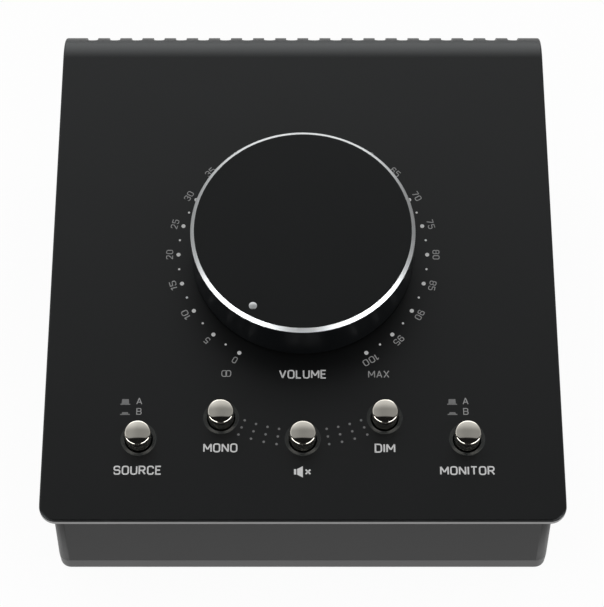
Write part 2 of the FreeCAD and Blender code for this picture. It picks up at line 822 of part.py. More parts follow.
def jack_board_posts():
    depth = jack_board_bottom - 2 * stud_spare
    posts = []
    for x, y in jack_post_places():
        post = rod(post_radius, pan_floor_top, jack_board_bottom, x, y)
        posts.append(post.cut(rod(screw_radius, depth, jack_board_bottom + 1, x, y)))
    return posts


def jack_board_screws():
    screw = pan_screw(board_sheet + 2 * stud_spare)
    return [placed(screw, x, y, jack_board_top) for x, y in jack_post_places()]


def socket(x, size, nose, bore, back_wall):
    """A block on the jack board, with a nose through the rear plate and a blind bore.

    size is (width, height, length), and nose is (radius, rear end).
    """
    width, height, length = size
    radius, nose_rear = nose
    front = plate_front - length
    across_x = (x - width / 2, x + width / 2)
    block = box(across_x, (front, plate_front), (jack_board_top, jack_board_top + height))
    body = joined([block, rear_rod(radius, plate_front, nose_rear, x, jack_height)])
    return body.cut(rear_rod(bore, front + back_wall, nose_rear + 1, x, jack_height))


def stereo_jack(x):
    size = (jack_body_width, jack_body_height, jack_body_length)
    return socket(x, size, (jack_nose, jack_nose_rear), jack_bore, jack_back_wall)


def mini_jack():
    _, x = jack_places()
    size = (mini_body_width, mini_body_height, mini_body_length)
    return socket(x, size, (mini_nose, mini_nose_rear), mini_bore, mini_back_wall)


def jack_washers():
    washer = ring(jack_washer_radius, jack_nose, 0, jack_washer_height)
    washer = placed(washer, 0, plate_rear, jack_height, Vec(1, 0, 0), -90)
    return [placed(washer, x) for x in jack_places()[0]]


def jack_nuts():
    nut = hex_nut(jack_nut_flats, jack_nose, jack_nut_height)
    nut = placed(nut, 0, plate_rear + jack_washer_height, jack_height, Vec(1, 0, 0), -90)
    return [placed(nut, x) for x in jack_places()[0]]


def mini_jack_nut():
    _, x = jack_places()
    nut = ring(mini_nut_radius, mini_nose, 0, mini_nut_height)
    return placed(nut, x, plate_rear, jack_height, Vec(1, 0, 0), -90)


# ---- the assembly: one node per named piece or group of like pieces
def build_nodes():
    nodes = {
        "top_cover": top_cover(),
        "side_frame": side_frame(),
        "bottom_pan": bottom_pan(),
        "rear_plate": rear_plate(),
        "rubber_feet": rubber_feet(),
        "bottom_screws": bottom_screws(),
        "rear_screws": rear_screws(),
        "cover_studs": cover_studs(),
        "cover_nuts": cover_nuts(),
        "pot_body": pot_body(),
        "pot_bushing": pot_bushing(),
        "pot_washer": pot_washer(),
        "pot_nut": pot_nut(),
        "pot_pins": pot_pins(),
        "pot_shaft": pot_shaft(),
        "knob_shell": knob_shell(),
        "knob_hub": knob_hub(),
        "knob_marker": knob_marker(),
        "switch_pins": switch_pins(),
        "control_board": control_board(),
        "board_posts": board_posts(),
        "board_screws": board_screws(),
        "resistors": resistors(),
        "upper_header": upper_header(),
        "ribbon_cable": ribbon_cable(),
        "lower_header": lower_header(),
        "jack_board": jack_board(),
        "jack_board_posts": jack_board_posts(),
        "jack_board_screws": jack_board_screws(),
        "mini_jack": mini_jack(),
        "mini_jack_nut": mini_jack_nut(),
        "jack_washers": jack_washers(),
        "jack_nuts": jack_nuts(),
    }
    jacks, _ = jack_places()
    nodes["output_jacks"] = [stereo_jack(x) for x in jacks[:4]]
    nodes["input_jacks"] = [stereo_jack(x) for x in jacks[4:]]
    for name, x, y in button_places():
        nodes[name + "_cap"] = button_cap(x, y)
        nodes[name + "_plunger"] = button_plunger(x, y)
        nodes[name + "_switch"] = switch_body(x, y)
        nodes[name + "_spring"] = return_spring(x, y)
    return nodes


os.makedirs("parts", exist_ok=True)
for node_name, built in build_nodes().items():
    pieces = built if isinstance(built, list) else [built]
    solids = [solid for piece in pieces for solid in piece.Solids]
    Part.makeCompound(solids).exportStep("parts/" + node_name + ".step")
    valid = all(solid.isValid() for solid in solids)
    print(node_name, len(solids), "valid" if valid else "NOT VALID")
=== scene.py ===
import math

import bmesh
import bpy
from mathutils import Matrix, Vector


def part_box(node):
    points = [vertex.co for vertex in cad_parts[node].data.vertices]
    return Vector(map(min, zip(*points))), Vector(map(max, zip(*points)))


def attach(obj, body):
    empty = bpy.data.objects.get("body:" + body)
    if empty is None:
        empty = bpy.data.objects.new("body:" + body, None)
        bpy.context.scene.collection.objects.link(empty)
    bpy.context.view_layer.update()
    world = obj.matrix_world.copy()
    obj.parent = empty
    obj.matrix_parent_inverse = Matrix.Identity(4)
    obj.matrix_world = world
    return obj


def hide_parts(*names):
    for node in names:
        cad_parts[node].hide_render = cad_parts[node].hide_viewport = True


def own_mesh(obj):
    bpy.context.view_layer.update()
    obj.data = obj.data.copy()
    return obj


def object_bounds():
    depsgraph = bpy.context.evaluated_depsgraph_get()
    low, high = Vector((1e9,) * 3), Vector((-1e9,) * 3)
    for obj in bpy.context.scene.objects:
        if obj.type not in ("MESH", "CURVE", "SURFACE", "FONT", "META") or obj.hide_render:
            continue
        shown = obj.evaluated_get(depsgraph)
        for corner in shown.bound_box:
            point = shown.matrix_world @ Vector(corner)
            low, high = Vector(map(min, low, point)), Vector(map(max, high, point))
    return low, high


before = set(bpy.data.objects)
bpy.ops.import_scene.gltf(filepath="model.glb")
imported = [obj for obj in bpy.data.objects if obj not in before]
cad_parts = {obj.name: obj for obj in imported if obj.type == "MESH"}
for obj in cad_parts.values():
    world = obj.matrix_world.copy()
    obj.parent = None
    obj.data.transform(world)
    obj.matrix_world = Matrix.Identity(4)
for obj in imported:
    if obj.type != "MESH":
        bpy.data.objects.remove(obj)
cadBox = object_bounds()
mm = 0.001
near = 1e-6  # how far off a place may be and still be found
merged = 1e-7  # points closer than this become one

# the panel falls towards the user; its own frame has the knob's axis as Z and the painted face at zero
panel = dict(slope=math.radians(13.8), washerHeight=0.8 * mm)
washerLow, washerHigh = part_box("pot_washer")
panelNormal = Vector((0, -math.sin(panel["slope"]), math.cos(panel["slope"])))
panelOrigin = (washerLow + washerHigh) / 2 - panelNormal * panel["washerHeight"] / 2
panelPlace = Matrix.Translation(panelOrigin) @ Matrix.Rotation(panel["slope"], 4, "X")
panelDown = Vector((0, -math.sin(panel["slope"]), -math.cos(panel["slope"])))  # plumb, in the panel's frame


def cornersOf(points):
    low = Vector([min(point[axis] for point in points) for axis in range(3)])
    high = Vector([max(point[axis] for point in points) for axis in range(3)])
    return low, high


def panelBox(node):  # a CAD node's corners in the panel's frame
    return cornersOf([panelPlace.inverted() @ vert.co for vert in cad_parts[node].data.vertices])


def middleOf(low, high, z=None):  # the middle of a box, at a given height if one is named
    middle = (low + high) / 2
    return middle if z is None else Vector((middle.x, middle.y, z))


# ---- hand tools
def selectOnly(piece):
    if bpy.context.mode != "OBJECT":
        bpy.ops.object.mode_set(mode="OBJECT")
    bpy.ops.object.select_all(action="DESELECT")
    piece.select_set(True)
    bpy.context.view_layer.objects.active = piece


def openEdit(piece, kind="FACE", action="DESELECT"):
    selectOnly(piece)
    bpy.ops.object.mode_set(mode="EDIT")
    bpy.ops.mesh.select_mode(type=kind)
    bpy.ops.mesh.select_all(action=action)


def closeEdit():
    bpy.ops.object.mode_set(mode="OBJECT")


def pickParts(piece, kind, partsOf, test):
    openEdit(piece, kind)
    shape = bmesh.from_edit_mesh(piece.data)
    for part in partsOf(shape):
        if test(part):
            part.select = True
    shape.select_flush_mode()
    bmesh.update_edit_mesh(piece.data)


def pickFaces(piece, test):
    pickParts(piece, "FACE", lambda shape: shape.faces,
              lambda face: test(face.calc_center_median(), face.normal))


def pickEdges(piece, test):
    def testEdge(edge):
        first, last = [vert.co for vert in edge.verts]
        return test((first + last) / 2, (last - first).normalized(), edge.calc_face_angle(0))

    pickParts(piece, "EDGE", lambda shape: shape.edges, testEdge)


def pickVerts(piece, test):
    pickParts(piece, "VERT", lambda shape: shape.verts, lambda vert: test(vert.co))


def applyPlace(piece):
    selectOnly(piece)
    bpy.ops.object.transform_apply(location=True, rotation=True, scale=True)


def placeAt(piece, place, turn=0.0, axis="X"):
    piece.matrix_world = Matrix.Translation(place) @ Matrix.Rotation(turn, 4, axis)
    applyPlace(piece)
    return piece


def nameActive(name):
    piece = bpy.context.active_object
    piece.name = name
    piece.data.name = name
    applyPlace(piece)
    return piece


def useModifier(piece, kind, **settings):
    selectOnly(piece)
    modifier = piece.modifiers.new(kind.lower(), kind)
    for setting, value in settings.items():
        setattr(modifier, setting, value)
    bpy.ops.object.modifier_apply(modifier=modifier.name)


def cutAway(piece, cutter):
    useModifier(piece, "BOOLEAN", operation="DIFFERENCE", solver="EXACT", object=cutter)
    bpy.data.objects.remove(cutter)


def joinAll(pieces, name):
    selectOnly(pieces[0])
    for piece in pieces[1:]:
        piece.select_set(True)
    if len(pieces) > 1:
        bpy.ops.object.join()
    return nameActive(name)


def copyAt(piece, place=(0, 0, 0), turn=0.0):  # turned about X
    twin = piece.copy()
    twin.data = piece.data.copy()
    bpy.context.scene.collection.objects.link(twin)
    return placeAt(twin, place, turn)


def mendNormals(piece):
    openEdit(piece, action="SELECT")
    bpy.ops.mesh.remove_doubles(threshold=merged)
    bpy.ops.mesh.normals_make_consistent(inside=False)
    closeEdit()


def smooth(piece, degrees):
    selectOnly(piece)
    bpy.ops.object.shade_smooth_by_angle(angle=math.radians(degrees))
    useModifier(piece, "WEIGHTED_NORMAL", weight=100, keep_sharp=True)


def extrudeBy(move):
    bpy.ops.mesh.extrude_region_move(TRANSFORM_OT_translate={"value": move})


def layOnPanel(piece):
    piece.matrix_world = panelPlace
    applyPlace(piece)


def standOnPanel(piece, low, high, degrees, finish):  # a piece turned on the knob's axis, put in its place
    placeAt(piece, middleOf(low, high, 0))
    smooth(piece, degrees)
    layOnPanel(piece)
    paint(piece, finish)


def paint(piece, *finishes):
    piece.data.materials.clear()
    for finish in finishes:
        piece.data.materials.append(finish)


def dress(piece, body, slot, *replaced):
    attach(piece, body)
    if replaced:
        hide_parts(*replaced)


def arcSteps(middle, radius, fromTurn, toTurn, count):
    # (radius, level) pairs round an arc, turned from straight out to straight up
    turns = [math.radians(fromTurn + (toTurn - fromTurn) * step / count) for step in range(count + 1)]
    return [(middle[0] + radius * math.cos(turn), middle[1] + radius * math.sin(turn)) for turn in turns]


def turnPiece(name, profile, sides=64):
    # a round piece: a disc extruded and resized from ring to ring
    radius, level = profile[0]
    bpy.ops.mesh.primitive_circle_add(vertices=sides, radius=radius, fill_type="NGON", location=(0, 0, level))
    piece = nameActive(name)
    openEdit(piece, action="SELECT")
    for nextRadius, nextLevel in profile[1:]:
        extrudeBy((0, 0, nextLevel - level))
        share = nextRadius / radius
        bpy.ops.transform.resize(value=(share, share, 1), center_override=(0, 0, nextLevel))
        radius, level = nextRadius, nextLevel
    closeEdit()
    mendNormals(piece)
    return piece


def bevelPicked(width, steps, affect="EDGES", **settings):
    bpy.ops.mesh.bevel(offset=width, segments=steps, affect=affect, **settings)
    closeEdit()


def hollowOut(piece, wall, depth):  # from below
    pickFaces(piece, lambda middle, normal: normal.z < -0.99)
    bpy.ops.mesh.inset(thickness=wall)
    extrudeBy((0, 0, depth))
    closeEdit()
    mendNormals(piece)


def addCylinder(name, sides, radius, depth, place=(0, 0, 0), turn=0.0):
    bpy.ops.mesh.primitive_cylinder_add(vertices=sides, radius=radius, depth=depth, location=place,
                                        rotation=(0, 0, turn))
    return nameActive(name)


def addBlock(name, low, high):
    middle = [(a + b) / 2 for a, b in zip(low, high)]
    size = [b - a for a, b in zip(low, high)]
    bpy.ops.mesh.primitive_cube_add(size=1, location=middle, scale=size)
    return nameActive(name)


# ---- shader groups
def feed(tree, socket, source):  # a number or colour is set, another node's socket is linked
    if isinstance(source, bpy.types.NodeSocket):
        tree.links.new(source, socket)
    elif source is not None:
        socket.default_value = source


def addNode(tree, kind, settings=None, **values):
    node = tree.nodes.new("ShaderNode" + kind)
    for setting, value in (settings or {}).items():
        setattr(node, setting, value)
    for label, value in values.items():
        feed(tree, node.inputs[label.replace("_", " ")], value)
    return node


def addGroup(tree, group, **values):
    return addNode(tree, "Group", dict(node_tree=group), **values)


def addMath(tree, operation, first, second=None, clamp=False):
    node = addNode(tree, "Math", dict(operation=operation, use_clamp=clamp))
    feed(tree, node.inputs[0], first)
    feed(tree, node.inputs[1], second)
    return node.outputs[0]


mixSockets = {"FLOAT": (2, 3, 0), "RGBA": (6, 7, 2)}  # the two inputs and the output of each kind


def addMix(tree, share, first, second, kind="FLOAT"):  # first at a share of 0, second at 1
    node = addNode(tree, "Mix", dict(data_type=kind))
    start, end, result = mixSockets[kind]
    for k, source in ((0, share), (start, first), (end, second)):
        feed(tree, node.inputs[k], source)
    return node.outputs[result]


def mixShaders(tree, share, first, second):
    node = addNode(tree, "MixShader")
    for k, source in enumerate((share, first, second)):
        feed(tree, node.inputs[k], source)
    return node.outputs[0]


def addRamp(tree, value, ends, low=0.0, high=1.0):  # low at the first end, high at the second
    ramp = addNode(tree, "MapRange", dict(interpolation_type="SMOOTHSTEP"), Value=value,
                   From_Min=ends[0], From_Max=ends[1], To_Min=low, To_Max=high)
    return ramp.outputs["Result"]


def addBump(tree, height, depth):
    return addNode(tree, "Bump", Height=height, Distance=depth, Strength=1.0).outputs["Normal"]


def emptyTree(holder):
    holder.use_nodes = True
    holder.node_tree.nodes.clear()
    return holder.node_tree


def newGroup(name, inputs, *outputs):
    # one number makes a value socket, three a vector and four a colour
    group = bpy.data.node_groups.new(name, "ShaderNodeTree")
    for label, value in inputs.items():
        kind = {1: "Float", 3: "Vector", 4: "Color"}[len(value) if isinstance(value, tuple) else 1]
        socket = group.interface.new_socket(name=label.replace("_", " "), in_out="INPUT",
                                            socket_type="NodeSocket" + kind)
        socket.default_value = value
    for label in outputs:
        kind = "Color" if label == "Color" else "Float"
        group.interface.new_socket(name=label, in_out="OUTPUT", socket_type="NodeSocket" + kind)
    return group, group.nodes.new("NodeGroupInput").outputs, group.nodes.new("NodeGroupOutput").inputs


def rgba(color):  # from a gray level, or from red, green and blue
    return (*color, 1) if isinstance(color, tuple) else (color, color, color, 1)


def makeGrainGroup():
    # paint or plastic: cloudy tint, uneven gloss and a fine skin
    inputs = dict(Color=rgba(0.5), Cloud_Color=rgba(0.5), Cloud_Scale=60.0, Gloss_Low=0.3, Gloss_High=0.4,
                  Grain_Scale=2500.0)
    group, given, result = newGroup("surfaceGrain", inputs, "Color", "Roughness", "Height")
    place = addNode(group, "TexCoord").outputs["Object"]
    cloud = addNode(group, "TexNoise", Vector=place, Scale=given["Cloud Scale"], Detail=3.0, Roughness=0.55)
    grain = addNode(group, "TexNoise", Vector=place, Scale=given["Grain Scale"], Detail=2.0, Roughness=0.6)
    clouds, grains = cloud.outputs["Fac"], grain.outputs["Fac"]
    share = addMath(group, "MULTIPLY", addMath(group, "ADD", clouds, grains), 0.5)
    gloss = addNode(group, "MapRange", Value=share, To_Min=given["Gloss Low"], To_Max=given["Gloss High"])
    feed(group, result["Color"], addMix(group, clouds, given["Color"], given["Cloud Color"], "RGBA"))
    feed(group, result["Roughness"], gloss.outputs["Result"])
    feed(group, result["Height"], grains)
    return group


def makeWearGroup():
    # a thin rubbed line along outer edges, broken up by noise
    inputs = dict(Color=rgba(0.5), Worn_Color=rgba(0.5), Width=0.0004, Amount=0.5)
    group, given, result = newGroup("edgeWear", inputs, "Color")
    place = addNode(group, "TexCoord").outputs["Object"]
    breakUp = addNode(group, "TexNoise", Vector=place, Scale=900.0, Detail=4.0)
    rounded = addNode(group, "Bevel", dict(samples=4), Radius=given["Width"])
    facing = addNode(group, "VectorMath", dict(operation="DOT_PRODUCT"))
    feed(group, facing.inputs[0], rounded.outputs["Normal"])
    feed(group, facing.inputs[1], addNode(group, "NewGeometry").outputs["Normal"])
    edge = addNode(group, "MapRange", Value=facing.outputs["Value"], From_Min=0.995, From_Max=0.90)
    rubbed = addMath(group, "MULTIPLY", edge.outputs["Result"], breakUp.outputs["Fac"])
    mask = addMath(group, "MULTIPLY", rubbed, given["Amount"], clamp=True)
    feed(group, result["Color"], addMix(group, mask, given["Color"], given["Worn Color"], "RGBA"))
    return group


def makeRingsGroup():
    # the fine rings that a lathe leaves round an axis
    group, given, result = newGroup("turnedRings", dict(Vector=(0, 0, 0), Pitch=0.0001), "Height")
    x, y, z = addNode(group, "SeparateXYZ", Vector=given["Vector"]).outputs
    square = addMath(group, "ADD", addMath(group, "MULTIPLY", x, x), addMath(group, "MULTIPLY", y, y))
    slanted = addMath(group, "SUBTRACT", addMath(group, "SQRT", square), z)
    ring = addMath(group, "DIVIDE", slanted, given["Pitch"])
    noise = addNode(group, "TexNoise", dict(noise_dimensions="1D"), W=ring, Scale=1.0, Detail=3.0)
    feed(group, result["Height"], noise.outputs["Fac"])
    return group


grainGroup = makeGrainGroup()
wearGroup = makeWearGroup()
ringsGroup = makeRingsGroup()


def makeFinish(name, color, cloud, gloss=(0.3, 0.4), grain=2500.0, depth=0.0, cloudScale=60.0,
               metal=0.0, specular=0.5, worn=None, wornWidth=0.0004):
    # gloss is the lowest and highest roughness; depth and wornWidth are in metres
    material = bpy.data.materials.new(name)
    tree = emptyTree(material)
    skin = addGroup(tree, grainGroup, Color=rgba(color), Cloud_Color=rgba(cloud), Cloud_Scale=cloudScale,
                    Gloss_Low=gloss[0], Gloss_High=gloss[1], Grain_Scale=grain).outputs
    painted = skin["Color"]
    if worn:
        wear = addGroup(tree, wearGroup, Color=painted, Worn_Color=rgba(worn), Width=wornWidth)
        painted = wear.outputs["Color"]
    shader = addNode(tree, "BsdfPrincipled", Base_Color=painted, Roughness=skin["Roughness"],
                     Metallic=metal, Specular_IOR_Level=specular)
    if depth:
        feed(tree, shader.inputs["Normal"], addBump(tree, skin["Height"], depth))
    addNode(tree, "OutputMaterial", Surface=shader.outputs["BSDF"])
    return material


def turnedFinish(name, color, cloud, gloss, pitch, depth):
    # bare metal with lathe rings about the knob's axis
    material = makeFinish(name, color, cloud, gloss, metal=1.0)
    tree = material.node_tree
    place = addNode(tree, "TexCoord").outputs["Object"]
    shift = addNode(tree, "Mapping", Vector=place, Location=-panelOrigin).outputs["Vector"]
    turn = addNode(tree, "Mapping", Vector=shift, Rotation=(-panel["slope"], 0, 0)).outputs["Vector"]
    rings = addGroup(tree, ringsGroup, Vector=turn, Pitch=pitch).outputs["Height"]
    shader = next(node for node in tree.nodes if node.type == "BSDF_PRINCIPLED")
    feed(tree, shader.inputs["Normal"], addBump(tree, rings, depth))
    return material


# name, color, cloud color, gloss, grain scale, grain depth, cloud scale
satinBlack = makeFinish("satinBlack", (0.0026, 0.0029, 0.0031), (0.0032, 0.0034, 0.0036), (0.36, 0.42),
                        3200.0, 0.000003, specular=0.37, worn=0.03)
# painted sheen: a lighter copy of the satin black for the dish slopes, standing in for the light they reflect
paintedDishSheen = makeFinish("paintedDishSheen", (0.014, 0.017, 0.018), (0.018, 0.021, 0.022), (0.42, 0.50), 3200.0)
# painted highlight: light grey for the cover's front edge, standing in for the bright line that light draws
# along it
paintedEdgeHighlight = makeFinish("paintedEdgeHighlight", 0.23, 0.19, (0.30, 0.40), 3200.0)
frameBlack = makeFinish("frameBlack", (0.0040, 0.0043, 0.0043), (0.0048, 0.0050, 0.0050), (0.34, 0.44),
                        3200.0, 0.000004, specular=0.40, worn=0.03)
knobBlack = makeFinish("knobBlack", (0.0026, 0.0034, 0.0042), (0.0032, 0.0040, 0.0050), (0.34, 0.42),
                       5000.0, 0.0000015)
knobTop = makeFinish("knobTop", (0.0030, 0.0034, 0.0036), (0.0036, 0.0040, 0.0042), (0.26, 0.32),
                     5000.0, 0.0000015, specular=0.28)
brightCut = turnedFinish("brightCut", 0.68, 0.82, (0.37, 0.43), 0.00006, 0.000003)
polishedSteel = makeFinish("polishedSteel", 0.86, 0.80, (0.10, 0.18), metal=1.0)
chromePlate = makeFinish("chromePlate", (0.72, 0.67, 0.59), (0.66, 0.62, 0.56), (0.03, 0.06), 900.0,
                         0.0000006, 500.0, metal=1.0)
labelInk = makeFinish("labelInk", 0.72, 0.66, (0.5, 0.6), cloudScale=2500.0)
dialInk = makeFinish("dialInk", 0.35, 0.31, (0.5, 0.6), cloudScale=2500.0)
signInk = makeFinish("signInk", 0.19, 0.16, (0.5, 0.6), cloudScale=2500.0)
footRubber = makeFinish("footRubber", 0.012, 0.018, (0.65, 0.85), 1800.0, 0.00001)
zincPlate = makeFinish("zincPlate", 0.62, (0.58, 0.60, 0.64), (0.22, 0.38), cloudScale=250.0, metal=1.0)
blackScrew = makeFinish("blackScrew", 0.012, 0.02, (0.25, 0.4), worn=0.25, wornWidth=0.0002)
nickelPlate = makeFinish("nickelPlate", (0.66, 0.64, 0.60), (0.60, 0.59, 0.56), (0.16, 0.28),
                         depth=0.000002, cloudScale=300.0, metal=1.0)
tinnedWire = makeFinish("tinnedWire", 0.66, 0.55, (0.25, 0.4), cloudScale=500.0, metal=1.0)
springWire = makeFinish("springWire", 0.52, 0.45, (0.2, 0.3), metal=1.0)
blackPlastic = makeFinish("blackPlastic", 0.010, 0.014, (0.35, 0.5), 1600.0, 0.000006)
whitePlastic = makeFinish("whitePlastic", 0.62, 0.58, (0.35, 0.45), depth=0.000003)
boardGreen = makeFinish("boardGreen", (0.012, 0.09, 0.035), (0.02, 0.12, 0.05), (0.2, 0.35),
                        depth=0.000004, cloudScale=700.0)
resistorBlue = makeFinish("resistorBlue", (0.10, 0.22, 0.42), (0.14, 0.27, 0.46))
ribbonGray = makeFinish("ribbonGray", 0.28, 0.24, (0.4, 0.5), cloudScale=300.0)
print("finishes made")

# ---- CAD nodes: each gets its finish, and some of those without a piece of their own are softened
nodeFinish = {
    frameBlack: ["side_frame", "bottom_pan", "rear_plate"],
    footRubber: ["rubber_feet"],
    zincPlate: ["bottom_screws", "cover_studs", "cover_nuts", "board_posts", "board_screws",
                "jack_board_posts", "jack_board_screws"],
    blackScrew: ["rear_screws"],
    nickelPlate: ["pot_bushing", "pot_washer", "pot_nut", "pot_shaft", "jack_washers", "jack_nuts",
                  "mini_jack_nut"],
    tinnedWire: ["pot_pins", "switch_pins"],
    blackPlastic: ["pot_body", "knob_hub", "upper_header", "lower_header", "output_jacks", "input_jacks",
                   "mini_jack"],
    boardGreen: ["control_board", "jack_board"],
    resistorBlue: ["resistors"],
    ribbonGray: ["ribbon_cable"],
}
buttonNames = ["source", "mono", "mute", "dim", "monitor"]
nodeFinish[blackPlastic] += [name + "_switch" for name in buttonNames]
nodeFinish[whitePlastic] = [name + "_plunger" for name in buttonNames]
nodeFinish[springWire] = [name + "_spring" for name in buttonNames]
for finish, nodeNames in nodeFinish.items():
    for nodeName in nodeNames:
        paint(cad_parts[nodeName], finish)
edgeWidths = dict(side_frame=0.15, rear_plate=0.12, upper_header=0.2, lower_header=0.2, control_board=0.1,
                  jack_board=0.1, pot_body=0.25, pot_nut=0.15, knob_hub=0.2)
softEdge = dict(weld=0.002 * mm, segments=2, angle=math.radians(50))
for nodeName, width in edgeWidths.items():
    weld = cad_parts[nodeName].modifiers.new("weld", "WELD")
    weld.merge_threshold = softEdge["weld"]
    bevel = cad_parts[nodeName].modifiers.new("bevel", "BEVEL")
    bevel.width = width * mm
    bevel.segments = softEdge["segments"]
    bevel.angle_limit = softEdge["angle"]
    bevel.harden_normals = True
print("CAD nodes dressed")

# ---- top cover: one sheet, bent down at the back, slotted over the bend
coverLow, coverHigh = panelBox("top_cover")
cover = dict(
    halfWidth=coverHigh.x,
    front=-coverLow.y,
    rear=63.7 * mm,  # where the bend starts
    sheet=2.0 * mm,
    bend=12.0 * mm,
    bendTurn=math.pi / 2 + panel["slope"],
    bendSteps=40,
    cells=12,  # rows and columns of the sheet's mesh
    skirt=11.3 * mm,
    corner=4.5 * mm,
    cornerSteps=10,
    skirtCorner=3.0 * mm,
    skirtSteps=8,
    edgeRound=0.6 * mm,
    edgeSteps=5,
    fineRound=0.12 * mm,
    clearance=0.3 * mm,  # round the bushing
)
vent = dict(
    count=20,
    edge=7.8 * mm,  # the outermost slot's middle, from the cover's side
    width=3.3 * mm,
    startTurn=math.radians(39),
    drop=4.5 * mm,
    steps=24,
    endRound=0.495,  # as a share of the width
    endSteps=8,
    inner=0.6,  # the cutter's reach, in bend radii
    outer=1.5,
)
vent["first"] = vent["edge"] - cover["halfWidth"]
vent["pitch"] = -2 * vent["first"] / (vent["count"] - 1)
dish = dict(hole=3.75 * mm, lip=4.8 * mm, depth=0.45 * mm, edge=0.1 * mm, bulge=0.1 * mm, steps=4, sides=96,
            above=0.5 * mm)
fold = dict(outline=1.2, slot=0.9)  # edges that turn by more than this many radians are rounded


def sweepBend(steps, turn, reach):  # turns what is picked round the bend, then draws it down
    bpy.ops.mesh.spin(steps=steps, angle=turn, center=bendPoint(0, 0), axis=(1, 0, 0))
    extrudeBy(panelDown * reach)
    closeEdit()


def bendPoint(radius, turn):  # round the bend, turned from straight out of the panel
    return Vector((0, cover["rear"] + radius * math.sin(turn), radius * math.cos(turn) - cover["bend"]))


def coverDepth(point):  # how far a point lies below the cover's outside
    fromCentre = Vector((0, point.y, point.z)) - bendPoint(0, 0)
    if point.y <= cover["rear"]:
        return -point.z
    if fromCentre.dot(panelDown) > 0:
        outward = bendPoint(1, cover["bendTurn"]) - bendPoint(0, 0)
        return cover["bend"] - fromCentre.dot(outward)
    return cover["bend"] - fromCentre.length


def makeVentCutter():
    # a wedge over the bend and down the skirt, with round ends
    inner, outer = cover["bend"] * vent["inner"], cover["bend"] * vent["outer"]
    low, high = bendPoint(inner, vent["startTurn"]), bendPoint(outer, vent["startTurn"])
    bpy.ops.mesh.primitive_plane_add(size=1, location=middleOf(low, high),
                                     rotation=(math.pi / 2 - vent["startTurn"], 0, 0))
    bpy.context.active_object.scale = (vent["width"], outer - inner, 1)
    cutter = nameActive("ventCutter")
    openEdit(cutter, action="SELECT")
    sweepBend(vent["steps"], cover["bendTurn"] - vent["startTurn"], vent["drop"])
    mendNormals(cutter)
    startLine = (high - low).normalized()
    endLine = (bendPoint(outer, cover["bendTurn"]) - bendPoint(inner, cover["bendTurn"])).normalized()

    def atStart(middle, line, angle):
        return abs(line.dot(startLine)) > 0.999 and (middle - middleOf(low, high)).length < vent["width"]

    def atEnd(middle, line, angle):
        lowest = (middle - bendPoint(0, 0)).dot(panelDown)
        return abs(line.dot(endLine)) > 0.999 and lowest > vent["drop"] * 0.99

    for place in (atStart, atEnd):
        pickEdges(cutter, place)
        bevelPicked(vent["width"] * vent["endRound"], vent["endSteps"])
    return cutter


def makeDishCutter():
    # the hole's clearance, then a shallow bowl that opens to the panel's face
    hole, lip, depth, edge, above = [dish[part] for part in ("hole", "lip", "depth", "edge", "above")]
    profile = [(hole, -2 * cover["sheet"]), (hole, -depth - edge), (hole + edge / 3, -depth - edge / 3)]
    for step in range(1, dish["steps"] + 1):
        share = step / dish["steps"]
        bulge = dish["bulge"] * math.sin(math.pi * share)
        profile.append((hole + edge + (lip - hole - edge) * share + bulge, -depth * (1 - share)))
    profile.append((lip + (lip - hole) / depth * above, above))
    return turnPiece("dishCutter", profile, dish["sides"])


def bendSheet():
    # a plate swept round the bend and down the skirt, its corners rounded before it gets its thickness
    length = cover["front"] + cover["rear"]
    bpy.ops.mesh.primitive_plane_add(size=1, location=(0, cover["rear"] - length / 2, 0))
    bpy.context.active_object.scale = (2 * cover["halfWidth"], length, 1)
    piece = nameActive("topCover")
    pickEdges(piece, lambda middle, line, angle: middle.y > cover["rear"] - near)
    sweepBend(cover["bendSteps"], cover["bendTurn"], cover["skirt"])
    inside = cover["halfWidth"] - near
    pickVerts(piece, lambda point: point.y < near - cover["front"] and abs(point.x) > inside)
    bevelPicked(cover["corner"], cover["cornerSteps"], "VERTICES")
    lowest = (bendPoint(cover["bend"], cover["bendTurn"]) + panelDown * cover["skirt"]).dot(panelDown)
    pickVerts(piece, lambda point: point.dot(panelDown) > lowest - near and abs(point.x) > inside)
    bevelPicked(cover["skirtCorner"], cover["skirtSteps"], "VERTICES")
    openEdit(piece, action="SELECT")
    bpy.ops.mesh.normals_make_consistent(inside=False)
    closeEdit()
    if max(piece.data.polygons, key=lambda face: face.area).normal.z < 0:
        openEdit(piece, action="SELECT")
        bpy.ops.mesh.flip_normals()
        closeEdit()
    useModifier(piece, "SOLIDIFY", thickness=cover["sheet"], offset=-1, use_even_offset=True)
    pickEdges(piece, lambda middle, line, angle: angle > fold["outline"] and coverDepth(middle) < 0.1 * mm)
    bevelPicked(cover["edgeRound"], cover["edgeSteps"])
    openEdit(piece, "EDGE")
    for k in range(1, cover["cells"]):
        share = k / cover["cells"]
        aside, along = cover["halfWidth"] * (2 * share - 1), cover["rear"] - length * share
        for point, normal in (((aside, 0, 0), (1, 0, 0)), ((0, along, 0), (0, 1, 0))):
            bpy.ops.mesh.select_all(action="SELECT")
            bpy.ops.mesh.bisect(plane_co=point, plane_no=normal)
    closeEdit()
    return piece


def onSlotRim(middle, line, angle):  # beside a slot's centre line, and on the sheet's outside
    column = (middle.x / vent["pitch"] + vent["count"] / 2) % 1 - 0.5
    ventFront = bendPoint(cover["bend"], vent["startTurn"]).y - vent["width"]
    beside = middle.y > ventFront and abs(column) * vent["pitch"] < vent["width"] * 0.6
    return beside and angle > fold["slot"] and coverDepth(middle) < 0.02 * mm


